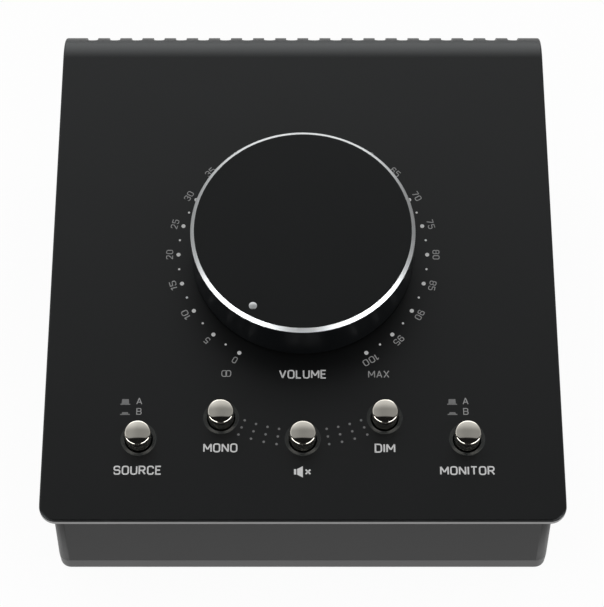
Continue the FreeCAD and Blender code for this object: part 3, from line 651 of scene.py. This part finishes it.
def cutCover(piece):
    slotCutter = makeVentCutter()
    bowlCutter = makeDishCutter()
    cutters = [copyAt(slotCutter, (vent["first"] + k * vent["pitch"], 0, 0)) for k in range(vent["count"])]
    for name in buttonNames:
        cutters.append(copyAt(bowlCutter, middleOf(*panelBox(name + "_cap"), 0)))
    bushingRadius = panelBox("pot_bushing")[1].x + cover["clearance"]
    cutters.append(addCylinder("bushingCutter", 64, bushingRadius, 4 * cover["sheet"]))
    for spare in (slotCutter, bowlCutter):
        bpy.data.objects.remove(spare)
    cutAway(piece, joinAll(cutters, "coverCutter"))
    openEdit(piece, action="SELECT")
    bpy.ops.mesh.remove_doubles(threshold=0.02 * mm)
    bpy.ops.mesh.dissolve_degenerate(threshold=0.02 * mm)
    closeEdit()
    pickEdges(piece, onSlotRim)
    bevelPicked(cover["fineRound"], 2, clamp_overlap=True)


def paintCover(piece):
    paint(piece, satinBlack, paintedDishSheen, paintedEdgeHighlight)
    for face in piece.data.polygons:
        place, up = face.center, face.normal.z
        inDish = -dish["depth"] < place.z < -near and 0.2 < up < 0.99 and place.y < 0
        onSide = place.y < 1 * mm - cover["front"] or abs(place.x) > cover["halfWidth"] - 1 * mm
        # painted sheen: the dish slopes get the lighter paint, as if lit
        if inDish and not onSide:
            face.material_index = 1
        elif place.y < cover["corner"] - cover["front"] and abs(up) < 0.1:
            face.material_index = 2  # painted highlight: the front edge's faces are painted light grey


def makeCover():
    piece = bendSheet()
    cutCover(piece)
    smooth(piece, 40)
    pickFaces(piece, lambda middle, normal: normal.z > 0.9999 and abs(middle.z) < 0.01 * mm)
    bpy.ops.mesh.set_normals_from_faces(keep_sharp=True)
    closeEdit()
    paintCover(piece)
    layOnPanel(piece)
    dress(piece, "housing", "cover_black", "top_cover")


makeCover()
print("top cover made")

# ---- volume knob: a shell with a bright cut chamfer, and its marker
knobLow, knobHigh = panelBox("knob_shell")
knob = dict(
    radius=knobHigh.x,
    bottom=knobLow.z,
    top=knobHigh.z,
    wall=2.5 * mm,
    roof=3.0 * mm,
    chamferRun=1.15 * mm,
    chamferDrop=0.95 * mm,
    fineRound=0.10 * mm,
    footRound=0.4 * mm,
    sides=256,
)
markerLow, markerHigh = panelBox("knob_marker")
marker = dict(
    radius=(markerHigh.x - markerLow.x) / 2,
    bottom=markerLow.z,
    crown=markerHigh.z - knobHigh.z,
    gap=0.10 * mm,
    pole=88,  # degrees at which the crown ends; one small face closes it
    sides=48,
)


def makeKnob():
    radius, top, fine, footRound = knob["radius"], knob["top"], knob["fineRound"], knob["footRound"]
    shoulder, face = top - knob["chamferDrop"], radius - knob["chamferRun"]
    slant = math.hypot(knob["chamferRun"], knob["chamferDrop"])
    run, drop = knob["chamferRun"] / slant * fine, knob["chamferDrop"] / slant * fine
    profile = arcSteps((radius - footRound, knob["bottom"] + footRound), footRound, -90, 0, 4)
    profile += [(radius, shoulder - fine), (radius - run, shoulder + drop)]
    profile += [(face + run, top - drop), (face - fine, top)]
    piece = turnPiece("knobShell", profile, knob["sides"])
    hollowOut(piece, radius - footRound - (radius - knob["wall"]), top - knob["roof"] - knob["bottom"])
    pocket, depth = marker["radius"] + marker["gap"], 2 * (top - marker["bottom"])
    place = middleOf(markerLow, markerHigh, top)
    cutAway(piece, addCylinder("markerCutter", marker["sides"], pocket, depth, place))
    paint(piece, knobBlack, brightCut, knobTop)
    for polygon in piece.data.polygons:
        place = polygon.center
        if place.z > shoulder + drop / 2 and place.xy.length > face:
            polygon.material_index = 1
        elif place.z > shoulder and polygon.normal.z > 0.9:
            polygon.material_index = 2
    smooth(piece, 25)
    layOnPanel(piece)
    dress(piece, "volume_knob", "knob_black", "knob_shell")


def makeMarker():
    ball = (marker["radius"] ** 2 + marker["crown"] ** 2) / (2 * marker["crown"])
    rim = math.degrees(math.acos(marker["radius"] / ball))
    middle = (0, knob["top"] + marker["crown"] - ball)
    profile = [(marker["radius"], marker["bottom"])] + arcSteps(middle, ball, rim, marker["pole"], 8)
    piece = turnPiece("knobMarker", profile, marker["sides"])
    standOnPanel(piece, markerLow, markerHigh, 40, polishedSteel)
    dress(piece, "volume_knob", "polished", "knob_marker")


makeKnob()
makeMarker()
print("volume knob made")

# ---- push buttons, each with a coil that shortens as its button goes down
cap = dict(shoulder=0.5 * mm, crown=0.35 * mm, bore=1.9 * mm, roof=1.2 * mm, pole=89.5, sides=128)
spring = dict(wire=0.15 * mm, wireSides=10, turns=4, steps=28, travel=2.2 * mm, slack=0.03 * mm)


def makeCap(name):
    low, high = panelBox(name + "_cap")
    radius = (high.x - low.x) / 2
    shoulder, crown = cap["shoulder"], cap["crown"]
    ball = (radius**2 + crown**2) / (2 * crown)
    lift = math.sqrt((ball - shoulder) ** 2 - (radius - shoulder) ** 2)
    rim = math.degrees(math.atan2(lift, radius - shoulder))
    profile = [(radius, low.z)]
    profile += arcSteps((radius - shoulder, high.z - ball + lift), shoulder, 0, rim, 8)
    profile += arcSteps((0, high.z - ball), ball, rim, cap["pole"], 10)[1:]
    piece = turnPiece(name + "Cap", profile, cap["sides"])
    hollowOut(piece, radius - cap["bore"], high.z - crown - cap["roof"] - low.z)
    standOnPanel(piece, low, high, 40, chromePlate)
    dress(piece, name + "_button", "chrome", name + "_cap")


def makeSpring(name):
    low, high = panelBox(name + "_spring")
    wire, length = spring["wire"], high.z - low.z
    start = ((high.x - low.x) / 2 - wire, 0, low.z + wire)
    bpy.ops.mesh.primitive_circle_add(vertices=spring["wireSides"], radius=wire, location=start,
                                      rotation=(math.pi / 2, 0, 0))
    piece = nameActive(name + "Spring")
    useModifier(piece, "SCREW", screw_offset=(length - 2 * wire) / spring["turns"],
                iterations=spring["turns"], steps=spring["steps"], render_steps=spring["steps"])
    openEdit(piece, action="SELECT")
    bpy.ops.mesh.fill_holes(sides=0)
    closeEdit()
    mendNormals(piece)
    standOnPanel(piece, low, high, 50, springWire)
    dress(piece, "housing", "spring_steel", name + "_spring")
    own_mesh(piece)


for name in buttonNames:
    makeCap(name)
    makeSpring(name)
print("button caps and springs made")

# ---- sockets, nuts, screws and feet; each is turned on its own Z axis, then faced to the rear or down
toRear, toFloor = -math.pi / 2, math.pi
socket = dict(nose=4.5 * mm, bore=3.25 * mm, thread=0.7 * mm, threadDepth=0.14 * mm)
miniSocket = dict(nose=3.0 * mm, bore=1.8 * mm, thread=0.45 * mm, threadDepth=0.09 * mm)
shell = dict(backWall=1.6 * mm, edge=0.4 * mm, plain=0.5 * mm, noseEnd=0.3 * mm, lip=0.2 * mm, mouth=0.5 * mm)
threadShape = ((0.1, 1), (0.45, 0), (0.6, 0), (0.95, 1))  # share of one turn, and 1 in its groove
nut = dict(cornerCut=0.58, flatCut=0.97, edge=0.12 * mm, sides=96)
washer = dict(edge=0.12 * mm, boreEdge=0.05 * mm)
miniNut = dict(edge=0.3 * mm, boreEdge=0.12 * mm, notchWidth=0.9 * mm, notchDepth=0.7 * mm)
screw = dict(head=1.6 * mm, shank=1.5 * mm, round=0.7 * mm, tip=0.8, tipLength=0.3 * mm, sides=48,
             crossWidth=0.75 * mm, crossReach=1.7 * mm, crossDepth=1.0 * mm, crossTaper=(0.5, 0.7, 1))
foot = dict(taper=0.7 * mm, round=0.5 * mm, dip=0.5 * mm, rim=1.5 * mm, lip=0.3 * mm)
jackLevel = middleOf(*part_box("jack_washers")).z
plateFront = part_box("rear_plate")[0].y


def findSolids(node):  # the low and high corner of each solid in a CAD node
    shape = bmesh.new()
    shape.from_mesh(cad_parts[node].data)
    bmesh.ops.remove_doubles(shape, verts=shape.verts, dist=merged)
    waiting = set(shape.verts)
    boxes = []
    while waiting:
        group = [waiting.pop()]
        for vert in group:
            for other in [edge.other_vert(vert) for edge in vert.link_edges]:
                if other in waiting:
                    waiting.remove(other)
                    group.append(other)
        boxes.append(cornersOf([vert.co for vert in group]))
    shape.free()
    return sorted(boxes, key=lambda box: tuple(box[0]))


def boreThrough(piece, radius, height, edge):
    wide = radius + 2 * edge
    profile = [(wide, -edge), (radius, edge), (radius, height - edge), (wide, height + edge)]
    cutAway(piece, turnPiece("boreCutter", profile))
    return piece


def makeRing(radius, height, edge):
    return turnPiece("ring", [(radius, 0), (radius, height - edge), (radius - edge, height)])


def makeNut(corner, height):
    piece = addCylinder("nut", 6, corner, height, (0, 0, height / 2), math.pi / 2)
    flat = corner * math.cos(math.pi / 6)
    cut, top = (corner - flat) * nut["cornerCut"], flat * nut["flatCut"]
    profile = [(top, -0.01 * mm), (corner, cut), (corner, height - cut), (top, height + 0.01 * mm)]
    rounding = turnPiece("nutRounding", profile, nut["sides"])
    useModifier(piece, "BOOLEAN", operation="INTERSECT", solver="EXACT", object=rounding)
    bpy.data.objects.remove(rounding)
    return boreThrough(piece, socket["nose"], height, nut["edge"])


def makeWasher(radius, height):
    return boreThrough(makeRing(radius, height, washer["edge"]), socket["nose"], height, washer["boreEdge"])


def makeMiniNut(radius, height):
    # round, with two notches for its spanner
    piece = makeRing(radius, height, miniNut["edge"])
    boreThrough(piece, miniSocket["nose"], height, miniNut["boreEdge"])
    across = miniNut["notchWidth"] / 2
    low, high = (-5 * mm, -across, height - miniNut["notchDepth"]), (5 * mm, across, 2 * height)
    cutAway(piece, addBlock("notchCutter", low, high))
    return piece


def makeSocket(low, high, size):
    # a moulded block behind the plate, with a threaded nose and a deep bore
    nose, pitch, groove = size["nose"], size["thread"], size["nose"] - size["threadDepth"]
    x, length = middleOf(low, high).x, high.y - plateFront
    block = addBlock("socketBlock", low, (high.x, plateFront, high.z))
    openEdit(block, action="SELECT")
    bevelPicked(shell["edge"], 2)
    profile = [(groove, -shell["lip"])]
    turns = int((length - shell["plain"]) / pitch)
    for k in range(turns):
        base = length - shell["noseEnd"] - (turns - k) * pitch
        profile += [(groove if inGroove else nose, base + along * pitch) for along, inGroove in threadShape]
    profile += [(groove, length - shell["lip"]), (groove - shell["lip"], length)]
    barrel = placeAt(turnPiece("socketNose", profile), (x, plateFront, jackLevel), toRear)
    depth, bore = high.y - low.y - shell["backWall"], size["bore"]
    profile = [(bore, 0), (bore, depth - 0.4 * mm), (bore + shell["mouth"], depth + 0.1 * mm)]
    cutter = placeAt(turnPiece("socketBore", profile), (x, low.y + shell["backWall"], jackLevel), toRear)
    twin = copyAt(cutter)
    cutAway(block, cutter)
    cutAway(barrel, twin)
    return [block, barrel]


def makeScrew(radius, length):
    # the head stands on zero and the shank runs down
    shank, head, rounding = screw["shank"], screw["head"], screw["round"]
    profile = [(shank * screw["tip"], head - length), (shank, head - length + screw["tipLength"])]
    profile += [(shank, 0), (radius, 0)]
    profile += arcSteps((radius - rounding, head - rounding), rounding, 0, 90, 6)
    piece = turnPiece("screw", profile, screw["sides"])
    across, reach, low = screw["crossWidth"] / 2, screw["crossReach"], head - screw["crossDepth"]
    for turn in (0, math.pi / 2):
        arm = addBlock("crossCutter", (-reach, -across, low), (reach, across, head + 1 * mm))
        pickFaces(arm, lambda middle, normal: normal.z < -0.9)
        bpy.ops.transform.resize(value=screw["crossTaper"], center_override=(0, 0, low))
        closeEdit()
        cutAway(piece, placeAt(arm, (0, 0, 0), turn, "Z"))
    return piece


def makeFoot(radius, height):
    # a dished moulding with a round rim
    tread, rounding = radius - foot["taper"], foot["round"]
    profile = [(radius, 0)] + arcSteps((tread - rounding, height - rounding), rounding, 10, 90, 5)
    profile += [(tread - foot["rim"], height), (tread - foot["rim"] - foot["lip"], height - foot["dip"])]
    return turnPiece("foot", profile)


def finishFitting(pieces, name, finish, slot, node):
    piece = joinAll(pieces, name)
    mendNormals(piece)
    smooth(piece, 30)
    paint(piece, finish)
    dress(piece, "housing", slot, node)


def makeNuts(name, node, makeOne):
    pieces = []
    for low, high in findSolids(node):
        middle = middleOf(low, high)
        piece = makeOne((high.x - low.x) / 2, high.y - low.y)
        pieces.append(placeAt(piece, (middle.x, low.y, middle.z), toRear))
    finishFitting(pieces, name, nickelPlate, "nickel", node)


def makeSockets(name, node, size):
    pieces = [piece for low, high in findSolids(node) for piece in makeSocket(low, high, size)]
    finishFitting(pieces, name, blackPlastic, "black_plastic", node)


def makeScrews(name, node, finish, slot, axis, turn):
    boxes = findSolids(node)
    low, high = boxes[0]
    master = makeScrew((high.x - low.x) / 2, (high - low)[axis])
    pieces = []
    for low, high in boxes:
        place = middleOf(low, high)
        place[axis] = low.z + screw["head"] if turn == toFloor else high.y - screw["head"]
        pieces.append(copyAt(master, place, turn))
    bpy.data.objects.remove(master)
    finishFitting(pieces, name, finish, slot, node)


def makeFeet():
    pieces = []
    for low, high in findSolids("rubber_feet"):
        disc = makeFoot((high.x - low.x) / 2, high.z - low.z)
        pieces.append(placeAt(disc, middleOf(low, high, high.z), toFloor))
    finishFitting(pieces, "rubberFeet", footRubber, "rubber", "rubber_feet")


makeNuts("jackNuts", "jack_nuts", makeNut)
makeNuts("jackWashers", "jack_washers", makeWasher)
makeNuts("miniJackNut", "mini_jack_nut", makeMiniNut)
makeSockets("outputJacks", "output_jacks", socket)
makeSockets("inputJacks", "input_jacks", socket)
makeSockets("miniJack", "mini_jack", miniSocket)
makeScrews("rearScrews", "rear_screws", blackScrew, "black_screw", 1, toRear)
makeScrews("bottomScrews", "bottom_screws", zincPlate, "zinc", 2, toFloor)
makeFeet()
print("sockets, screws and feet made")

# ---- printing on the panel; letters are strokes on a grid six units high, and a third value rounds a corner
glyphs = {
    "A": [[(0, 0), (2.1, 6), (4.2, 0)], [(0.75, 1.9), (3.45, 1.9)]],
    "B": [[(0, 3.1), (3.9, 3.1, 1.4), (3.9, 0, 1.4), (0, 0), (0, 6), (3.7, 6, 1.3), (3.7, 3.1, 1.3),
           (2.5, 3.1)]],
    "C": [[(3.9, 4.4), (3.9, 6, 1.6), (0, 6, 1.6), (0, 0, 1.6), (3.9, 0, 1.6), (3.9, 1.6)]],
    "D": [[(1.5, 0), (0, 0), (0, 6), (4, 6, 1.8), (4, 0, 1.8), (1.5, 0)]],
    "E": [[(3.4, 0), (0, 0), (0, 6), (3.4, 6)], [(0, 3.1), (2.9, 3.1)]],
    "I": [[(0, 0), (0, 6)]],
    "L": [[(0, 6), (0, 0), (3.3, 0)]],
    "M": [[(0, 0), (0, 6), (2.5, 1.8), (5, 6), (5, 0)]],
    "N": [[(0, 0), (0, 6), (4.1, 0), (4.1, 6)]],
    "O": [[(2, 0), (0, 0, 1.7), (0, 6, 1.7), (4.1, 6, 1.7), (4.1, 0, 1.7), (2, 0)]],
    "R": [[(0, 0), (0, 6), (3.8, 6, 1.5), (3.8, 2.9, 1.5), (0, 2.9)], [(2, 2.9), (4, 0)]],
    "S": [[(3.8, 4.7), (3.8, 6, 1.4), (0, 6, 1.4), (0, 3.1, 1.2), (3.9, 3.1, 1.2), (3.9, 0, 1.4),
           (0, 0, 1.4), (0, 1.3)]],
    "T": [[(0, 6), (4, 6)], [(2, 0), (2, 6)]],
    "U": [[(0, 6), (0, 0, 1.7), (4, 0, 1.7), (4, 6)]],
    "V": [[(0, 6), (2.1, 0), (4.2, 6)]],
    "X": [[(0, 0), (4, 6)], [(0, 6), (4, 0)]],
    "0": [[(1.7, 0), (0, 0, 1.5), (0, 6, 1.5), (3.4, 6, 1.5), (3.4, 0, 1.5), (1.7, 0)]],
    "1": [[(0, 4.6), (1.6, 6), (1.6, 0)]],
    "2": [[(0, 4.6), (0, 6, 1.5), (3.4, 6, 1.5), (3.4, 3.6, 1.2), (0, 0), (3.5, 0)]],
    "3": [[(0, 4.8), (0, 6, 1.3), (3.4, 6, 1.4), (3.4, 3.1, 1.2), (1.4, 3.1)],
          [(2.2, 3.1), (3.4, 3.1, 1.2), (3.4, 0, 1.4), (0, 0, 1.3), (0, 1.2)]],
    "4": [[(2.6, 0), (2.6, 6), (0, 1.5), (3.7, 1.5)]],
    "5": [[(3.3, 6), (0, 6), (0, 3.5), (3.4, 3.5, 1.4), (3.4, 0, 1.5), (0, 0, 1.3), (0, 1.2)]],
    "6": [[(3.2, 4.8), (3.2, 6, 1.3), (0, 6, 1.5), (0, 0, 1.5), (3.4, 0, 1.4), (3.4, 3.4, 1.4), (0, 3.4)]],
    "7": [[(0, 6), (3.5, 6), (1.2, 0)]],
    "8": [[(1.7, 3.1), (0, 3.1, 1.2), (0, 6, 1.4), (3.4, 6, 1.4), (3.4, 3.1, 1.2), (1.7, 3.1)],
          [(1.7, 3.1), (0, 3.1, 1.2), (0, 0, 1.4), (3.4, 0, 1.4), (3.4, 3.1, 1.2), (1.7, 3.1)]],
    "9": [[(0.2, 1.2), (0.2, 0, 1.3), (3.4, 0, 1.5), (3.4, 6, 1.5), (0, 6, 1.4), (0, 2.6, 1.4), (3.4, 2.6)]],
    "~": [[(2.1, 0), (0, 0, 2), (0, 6, 2), (4.2, 6, 2), (4.2, 0, 2), (2.1, 0)],
          [(5.7, 0), (3.6, 0, 2), (3.6, 6, 2), (7.8, 6, 2), (7.8, 0, 2), (5.7, 0)]],
}
ink = dict(bottom=-0.01 * mm, top=0.03 * mm, gap=1.9, bold=1.15, light=0.9, cornerSteps=5, tall=6, lap=0.4)
inkDepth, inkLevel = ink["top"] - ink["bottom"], (ink["top"] + ink["bottom"]) / 2


def roundCorner(before, point, after, radius):
    # an arc between two strokes, written as points
    first = point + (before - point).normalized() * radius
    last = point + (after - point).normalized() * radius
    steps = [step / ink["cornerSteps"] for step in range(ink["cornerSteps"] + 1)]
    return [first * (1 - s) ** 2 + point * 2 * s * (1 - s) + last * s**2 for s in steps]


def strokeParts(stroke, reach):
    # a sharp corner starts a new tube, so that both arms keep their width; at a square corner they lap
    parts = [[]]
    points = [Vector(corner[:2]) for corner in stroke]
    for k, point in enumerate(points):
        if len(stroke[k]) == 3:
            parts[-1] += roundCorner(points[k - 1], point, points[k + 1], stroke[k][2])
        elif 0 < k < len(stroke) - 1:
            before = (point - points[k - 1]).normalized()
            after = (points[k + 1] - point).normalized()
            lap = reach if abs(before.dot(after)) < 0.3 else 0
            parts[-1].append(point + before * lap)
            parts.append([point - after * lap])
        else:
            parts[-1].append(point)
    return parts


def addWord(text, x, y, width, height, strokeWidth, turn=0.0):
    # strokes become flattened tubes, sized to the word's width and height
    curve = bpy.data.curves.new("word", "CURVE")
    curve.dimensions = "3D"
    curve.bevel_depth = strokeWidth / 2
    curve.bevel_resolution = 1
    curve.use_fill_caps = True
    start = 0.0
    for letter in text:
        parts = [part for stroke in glyphs[letter] for part in strokeParts(stroke, strokeWidth * ink["lap"])]
        for points in parts:
            spline = curve.splines.new("POLY")
            spline.points.add(len(points) - 1)
            for target, point in zip(spline.points, points):
                target.co = (start + point.x, point.y, 0, 1)
        start += max(point.x for points in parts for point in points) + ink["gap"]
    word = bpy.data.objects.new("word", curve)
    bpy.context.scene.collection.objects.link(word)
    selectOnly(word)
    bpy.ops.object.convert(target="MESH")
    word = bpy.context.active_object
    wide, tall = start - ink["gap"], ink["tall"]
    middle = Matrix.Translation((-wide / 2, -tall / 2, 0))
    scale = (width / (wide + strokeWidth), height / (tall + strokeWidth), inkDepth / strokeWidth, 1)
    place = Matrix.Translation((x, y, inkLevel)) @ Matrix.Rotation(turn, 4, "Z")
    word.matrix_world = place @ Matrix.Diagonal(scale) @ middle
    applyPlace(word)
    return word


def addDot(x, y, radius, sides=20):
    return addCylinder("dot", sides, radius, inkDepth, (x, y, inkLevel))


def addBar(x, y, width, height, taper, turn=0.0):
    # a flat bar; taper draws its upper edge in, as a share of the width
    bpy.ops.mesh.primitive_cube_add(size=1, scale=(width, height, inkDepth))
    bar = nameActive("bar")
    pickFaces(bar, lambda middle, normal: normal.y > 0.9)
    bpy.ops.transform.resize(value=(1 - taper, 1, 1))
    closeEdit()
    return placeAt(bar, (x, y, inkLevel), turn, "Z")


def onDial(turn, radius):  # clockwise from straight up the slope
    return radius * math.sin(turn), radius * math.cos(turn)


dial = dict(
    span=math.radians(300),
    steps=20,
    dotReach=34.32 * mm,
    dotRadius=0.57 * mm,
    smallRadius=0.31 * mm,
    numberReach=36.75 * mm,
    numberHeight=1.95 * mm,
    digitWidth=1.25 * mm,
    digitGap=0.35,  # as a share of a digit's width
)
labels = [  # text, x, y, width, height, all in millimetres on the panel
    ("VOLUME", 0.0, -36.0, 12.8, 2.6),
    ("SOURCE", -43.6, -63.65, 12.7, 2.6),
    ("MONO", -21.86, -57.3, 9.1, 2.6),
    ("DIM", 21.75, -57.4, 5.5, 2.6),
    ("MONITOR", 43.4, -63.75, 14.5, 2.55),
]
smallLabels = [
    ("~", -20.6, -35.8, 2.65, 1.96),
    ("MAX", 20.4, -36.0, 5.7, 2.2),
    ("A", -43.74, -43.85, 1.6, 2.05),
    ("B", -43.74, -46.85, 1.45, 1.95),
    ("A", 43.5, -43.85, 1.6, 2.05),
    ("B", 43.5, -46.85, 1.45, 1.95),
]
muteBars = [  # x, y, width, height in millimetres, taper, degrees: a small speaker and a cross
    (-2.05, -64.1, 0.6, 1.5, 0, 0),
    (-0.75, -64.1, 3.2, 1.5, 0.5, 90),
    (1.35, -64.1, 1.75, 0.42, 0, -45),
    (1.35, -64.1, 1.75, 0.42, 0, 45),
]
latchBars = [  # y, width, height in millimetres, taper: a raised button, then a lowered one
    (-44.0, 2.0, 1.4, 0.1),
    (-44.78, 2.65, 0.3, 0),
    (-47.35, 1.9, 0.55, 0.25),
    (-47.72, 2.6, 0.3, 0),
]
latchColumns = (-47.45, 39.9)
waves = dict(drop=10.06, reaches=(42.3, 44.5, 46.7), turns=(8.6, 12.85, 17.15, 21.5), radius=0.34, sides=16)


def inMetres(*lengths):
    return [length * mm for length in lengths]


def printOn(pieces, name, finish):
    piece = joinAll(pieces, name)
    layOnPanel(piece)
    paint(piece, finish)
    dress(piece, "housing", "white_plastic")


def makeLabels():
    pieces = [addWord(text, *inMetres(*place), ink["bold"]) for text, *place in labels]
    for k in range(2 * dial["steps"] + 1):
        turn = -dial["span"] / 2 + dial["span"] * k / (2 * dial["steps"])
        radius = dial["smallRadius"] if k % 2 else dial["dotRadius"]
        pieces.append(addDot(*onDial(turn, dial["dotReach"]), radius))
    for *place, taper, degrees in muteBars:
        pieces.append(addBar(*inMetres(*place), taper, math.radians(degrees)))
    printOn(pieces, "panelLabels", labelInk)


def makeDialPrint():
    pieces = []
    for k in range(dial["steps"] + 1):
        number = str(k * 5)
        turn = -dial["span"] / 2 + dial["span"] * k / dial["steps"]
        x, y = onDial(turn, dial["numberReach"])
        width = dial["digitWidth"] * (len(number) + dial["digitGap"] * (len(number) - 1))
        pieces.append(addWord(number, x, y, width, dial["numberHeight"], ink["light"], -turn))
    pieces += [addWord(text, *inMetres(*place), ink["light"]) for text, *place in smallLabels]
    printOn(pieces, "dialPrint", dialInk)


def makeSigns():
    pieces = []
    for side in (-1, 1):
        for degrees in waves["turns"]:
            turn = math.pi - side * math.radians(degrees)
            for reach in waves["reaches"]:
                x, y = onDial(turn, reach * mm)
                pieces.append(addDot(x, y - waves["drop"] * mm, waves["radius"] * mm, waves["sides"]))
    for x in latchColumns:
        pieces += [addBar(*inMetres(x, *place), taper) for *place, taper in latchBars]
    printOn(pieces, "panelSigns", signInk)


makeLabels()
makeDialPrint()
makeSigns()
print("printing made")

# ---- floor, light and camera
camera = dict(offset=Vector((-0.23, -397.84, 463.96)) * mm, tilt=math.radians(39.35), lens=131.29, sensor=36)
backdrop = dict(size=8, glow=0.95, card=0.01, cardSide=(-1.6, -1.2), cardEnd=(-0.12, -0.14))
studio = dict(  # how bright each light is
    overhead=0.32,
    slant=0.82,
    rear=2.5,
    left=0.9,
    right=0.5,
    horizon=0.25,
    side=0.05,
    flag=0.012,
    front=0.08,
    bar=4.4,
    diffuse=0.75,
    tint=(0.96, 0.99, 1.0),
)
span = dict(  # where each light begins and where it is full, along a direction's x, y or z
    slant=(0.18, 0.46),
    leftEdge=(-0.02, -0.30),
    rightEdge=(0.04, 0.30),
    rear=(0.44, 0.66),
    wings=(0.40, 0.55),
    leftToRight=(-0.1, 0.1),
    horizon=(0.50, 0.95),
    lift=(0.50, 0.80),
    low=(0.26, 0.10),
    barSide=(0.27, 0.38),
    barFront=(-0.14, -0.26),
    barTop=(0.56, 0.50),
    barFoot=(0.04, 0.12),
    flag=(0.56, 0.40),
    behind=(-0.055, -0.02),
)


def makeCamera():
    bpy.ops.object.camera_add(location=panelOrigin + camera["offset"], rotation=(camera["tilt"], 0, 0))
    view = bpy.context.active_object
    view.data.sensor_width = camera["sensor"]
    view.data.lens = camera["lens"]
    bpy.context.scene.camera = view


def rayKinds(tree):  # rays seen by the camera, and those that left a shiny or clear piece
    path = addNode(tree, "LightPath").outputs
    return path["Is Camera Ray"], addMath(tree, "MAXIMUM", path["Is Glossy Ray"], path["Is Transmission Ray"])


def makeFloor():
    # pale and partly glowing, with a dark card in front that only reflections show; clear from below
    bpy.ops.mesh.primitive_plane_add(size=backdrop["size"], location=(0, 0, cadBox[0].z))
    floor = nameActive("floor")
    material = bpy.data.materials.new("paleFloor")
    tree = emptyTree(material)
    place = addNode(tree, "TexCoord").outputs["Object"]
    x, y = addNode(tree, "SeparateXYZ", Vector=place).outputs[:2]
    aside = addMath(tree, "DIVIDE", addMath(tree, "ABSOLUTE", x), y)
    card = addRamp(tree, aside, backdrop["cardSide"])
    card = addMath(tree, "MULTIPLY", card, addRamp(tree, y, backdrop["cardEnd"]))
    seen, mirror = rayKinds(tree)
    share = addMath(tree, "MULTIPLY", addMath(tree, "MAXIMUM", seen, mirror), backdrop["glow"])
    pale = addNode(tree, "BsdfDiffuse", Color=rgba(1.0)).outputs[0]
    glow = addNode(tree, "Emission", Color=rgba(1.0)).outputs[0]
    dark = addNode(tree, "BsdfDiffuse", Color=rgba(backdrop["card"])).outputs[0]
    clear = addNode(tree, "BsdfTransparent").outputs[0]
    below = addNode(tree, "NewGeometry").outputs["Backfacing"]
    lit = mixShaders(tree, share, pale, glow)
    hidden = mixShaders(tree, addMath(tree, "MULTIPLY", mirror, card), lit, dark)
    addNode(tree, "OutputMaterial", Surface=mixShaders(tree, below, hidden, clear))
    paint(floor, material)


def makeWorld():
    # a softbox overhead, a white rear, grey sides, and at the front a dark flag between two bright bars
    world = bpy.data.worlds.new("studio")
    bpy.context.scene.world = world
    tree = emptyTree(world)
    place = addNode(tree, "TexCoord").outputs["Generated"]
    x, y, z = addNode(tree, "SeparateXYZ", Vector=place).outputs
    aside = addMath(tree, "ABSOLUTE", x)

    def ramp(value, name, low=0.0, high=1.0):
        return addRamp(tree, value, span[name], low, high)

    sky = ramp(y, "slant", studio["overhead"], studio["slant"])
    edges = addMath(tree, "ADD", ramp(x, "leftEdge", 1.0, 1.3), ramp(x, "rightEdge", 0.0, 0.1))
    sky = addMix(tree, ramp(y, "rear"), addMath(tree, "MULTIPLY", sky, edges), studio["rear"])
    sky = addMix(tree, ramp(aside, "wings"), sky, ramp(x, "leftToRight", studio["left"], studio["right"]))
    horizon = ramp(y, "horizon", studio["side"], studio["horizon"])
    lift = addMath(tree, "SUBTRACT", z, ramp(aside, "lift", 0.0, 0.22))
    sky = addMix(tree, ramp(lift, "low"), sky, horizon)
    bar = ramp(aside, "barSide")
    for value, name in ((y, "barFront"), (z, "barTop"), (z, "barFoot")):
        bar = addMath(tree, "MULTIPLY", bar, ramp(value, name))
    front = addMix(tree, bar, ramp(z, "flag", studio["flag"], studio["front"]), studio["bar"])
    level = addMix(tree, ramp(y, "behind"), front, sky)

    seen, mirror = rayKinds(tree)
    shiny = addNode(tree, "Background", Color=rgba(studio["tint"]), Strength=level).outputs[0]
    plain = addNode(tree, "Background", Color=rgba(1.0), Strength=1.0).outputs[0]
    soft = addNode(tree, "Background", Color=rgba(1.0), Strength=studio["diffuse"]).outputs[0]
    lit = mixShaders(tree, seen, mixShaders(tree, mirror, soft, shiny), plain)
    addNode(tree, "OutputWorld", Surface=lit)


makeCamera()
makeFloor()
makeWorld()
bpy.context.scene.view_settings.view_transform = "Standard"
print("stage made")
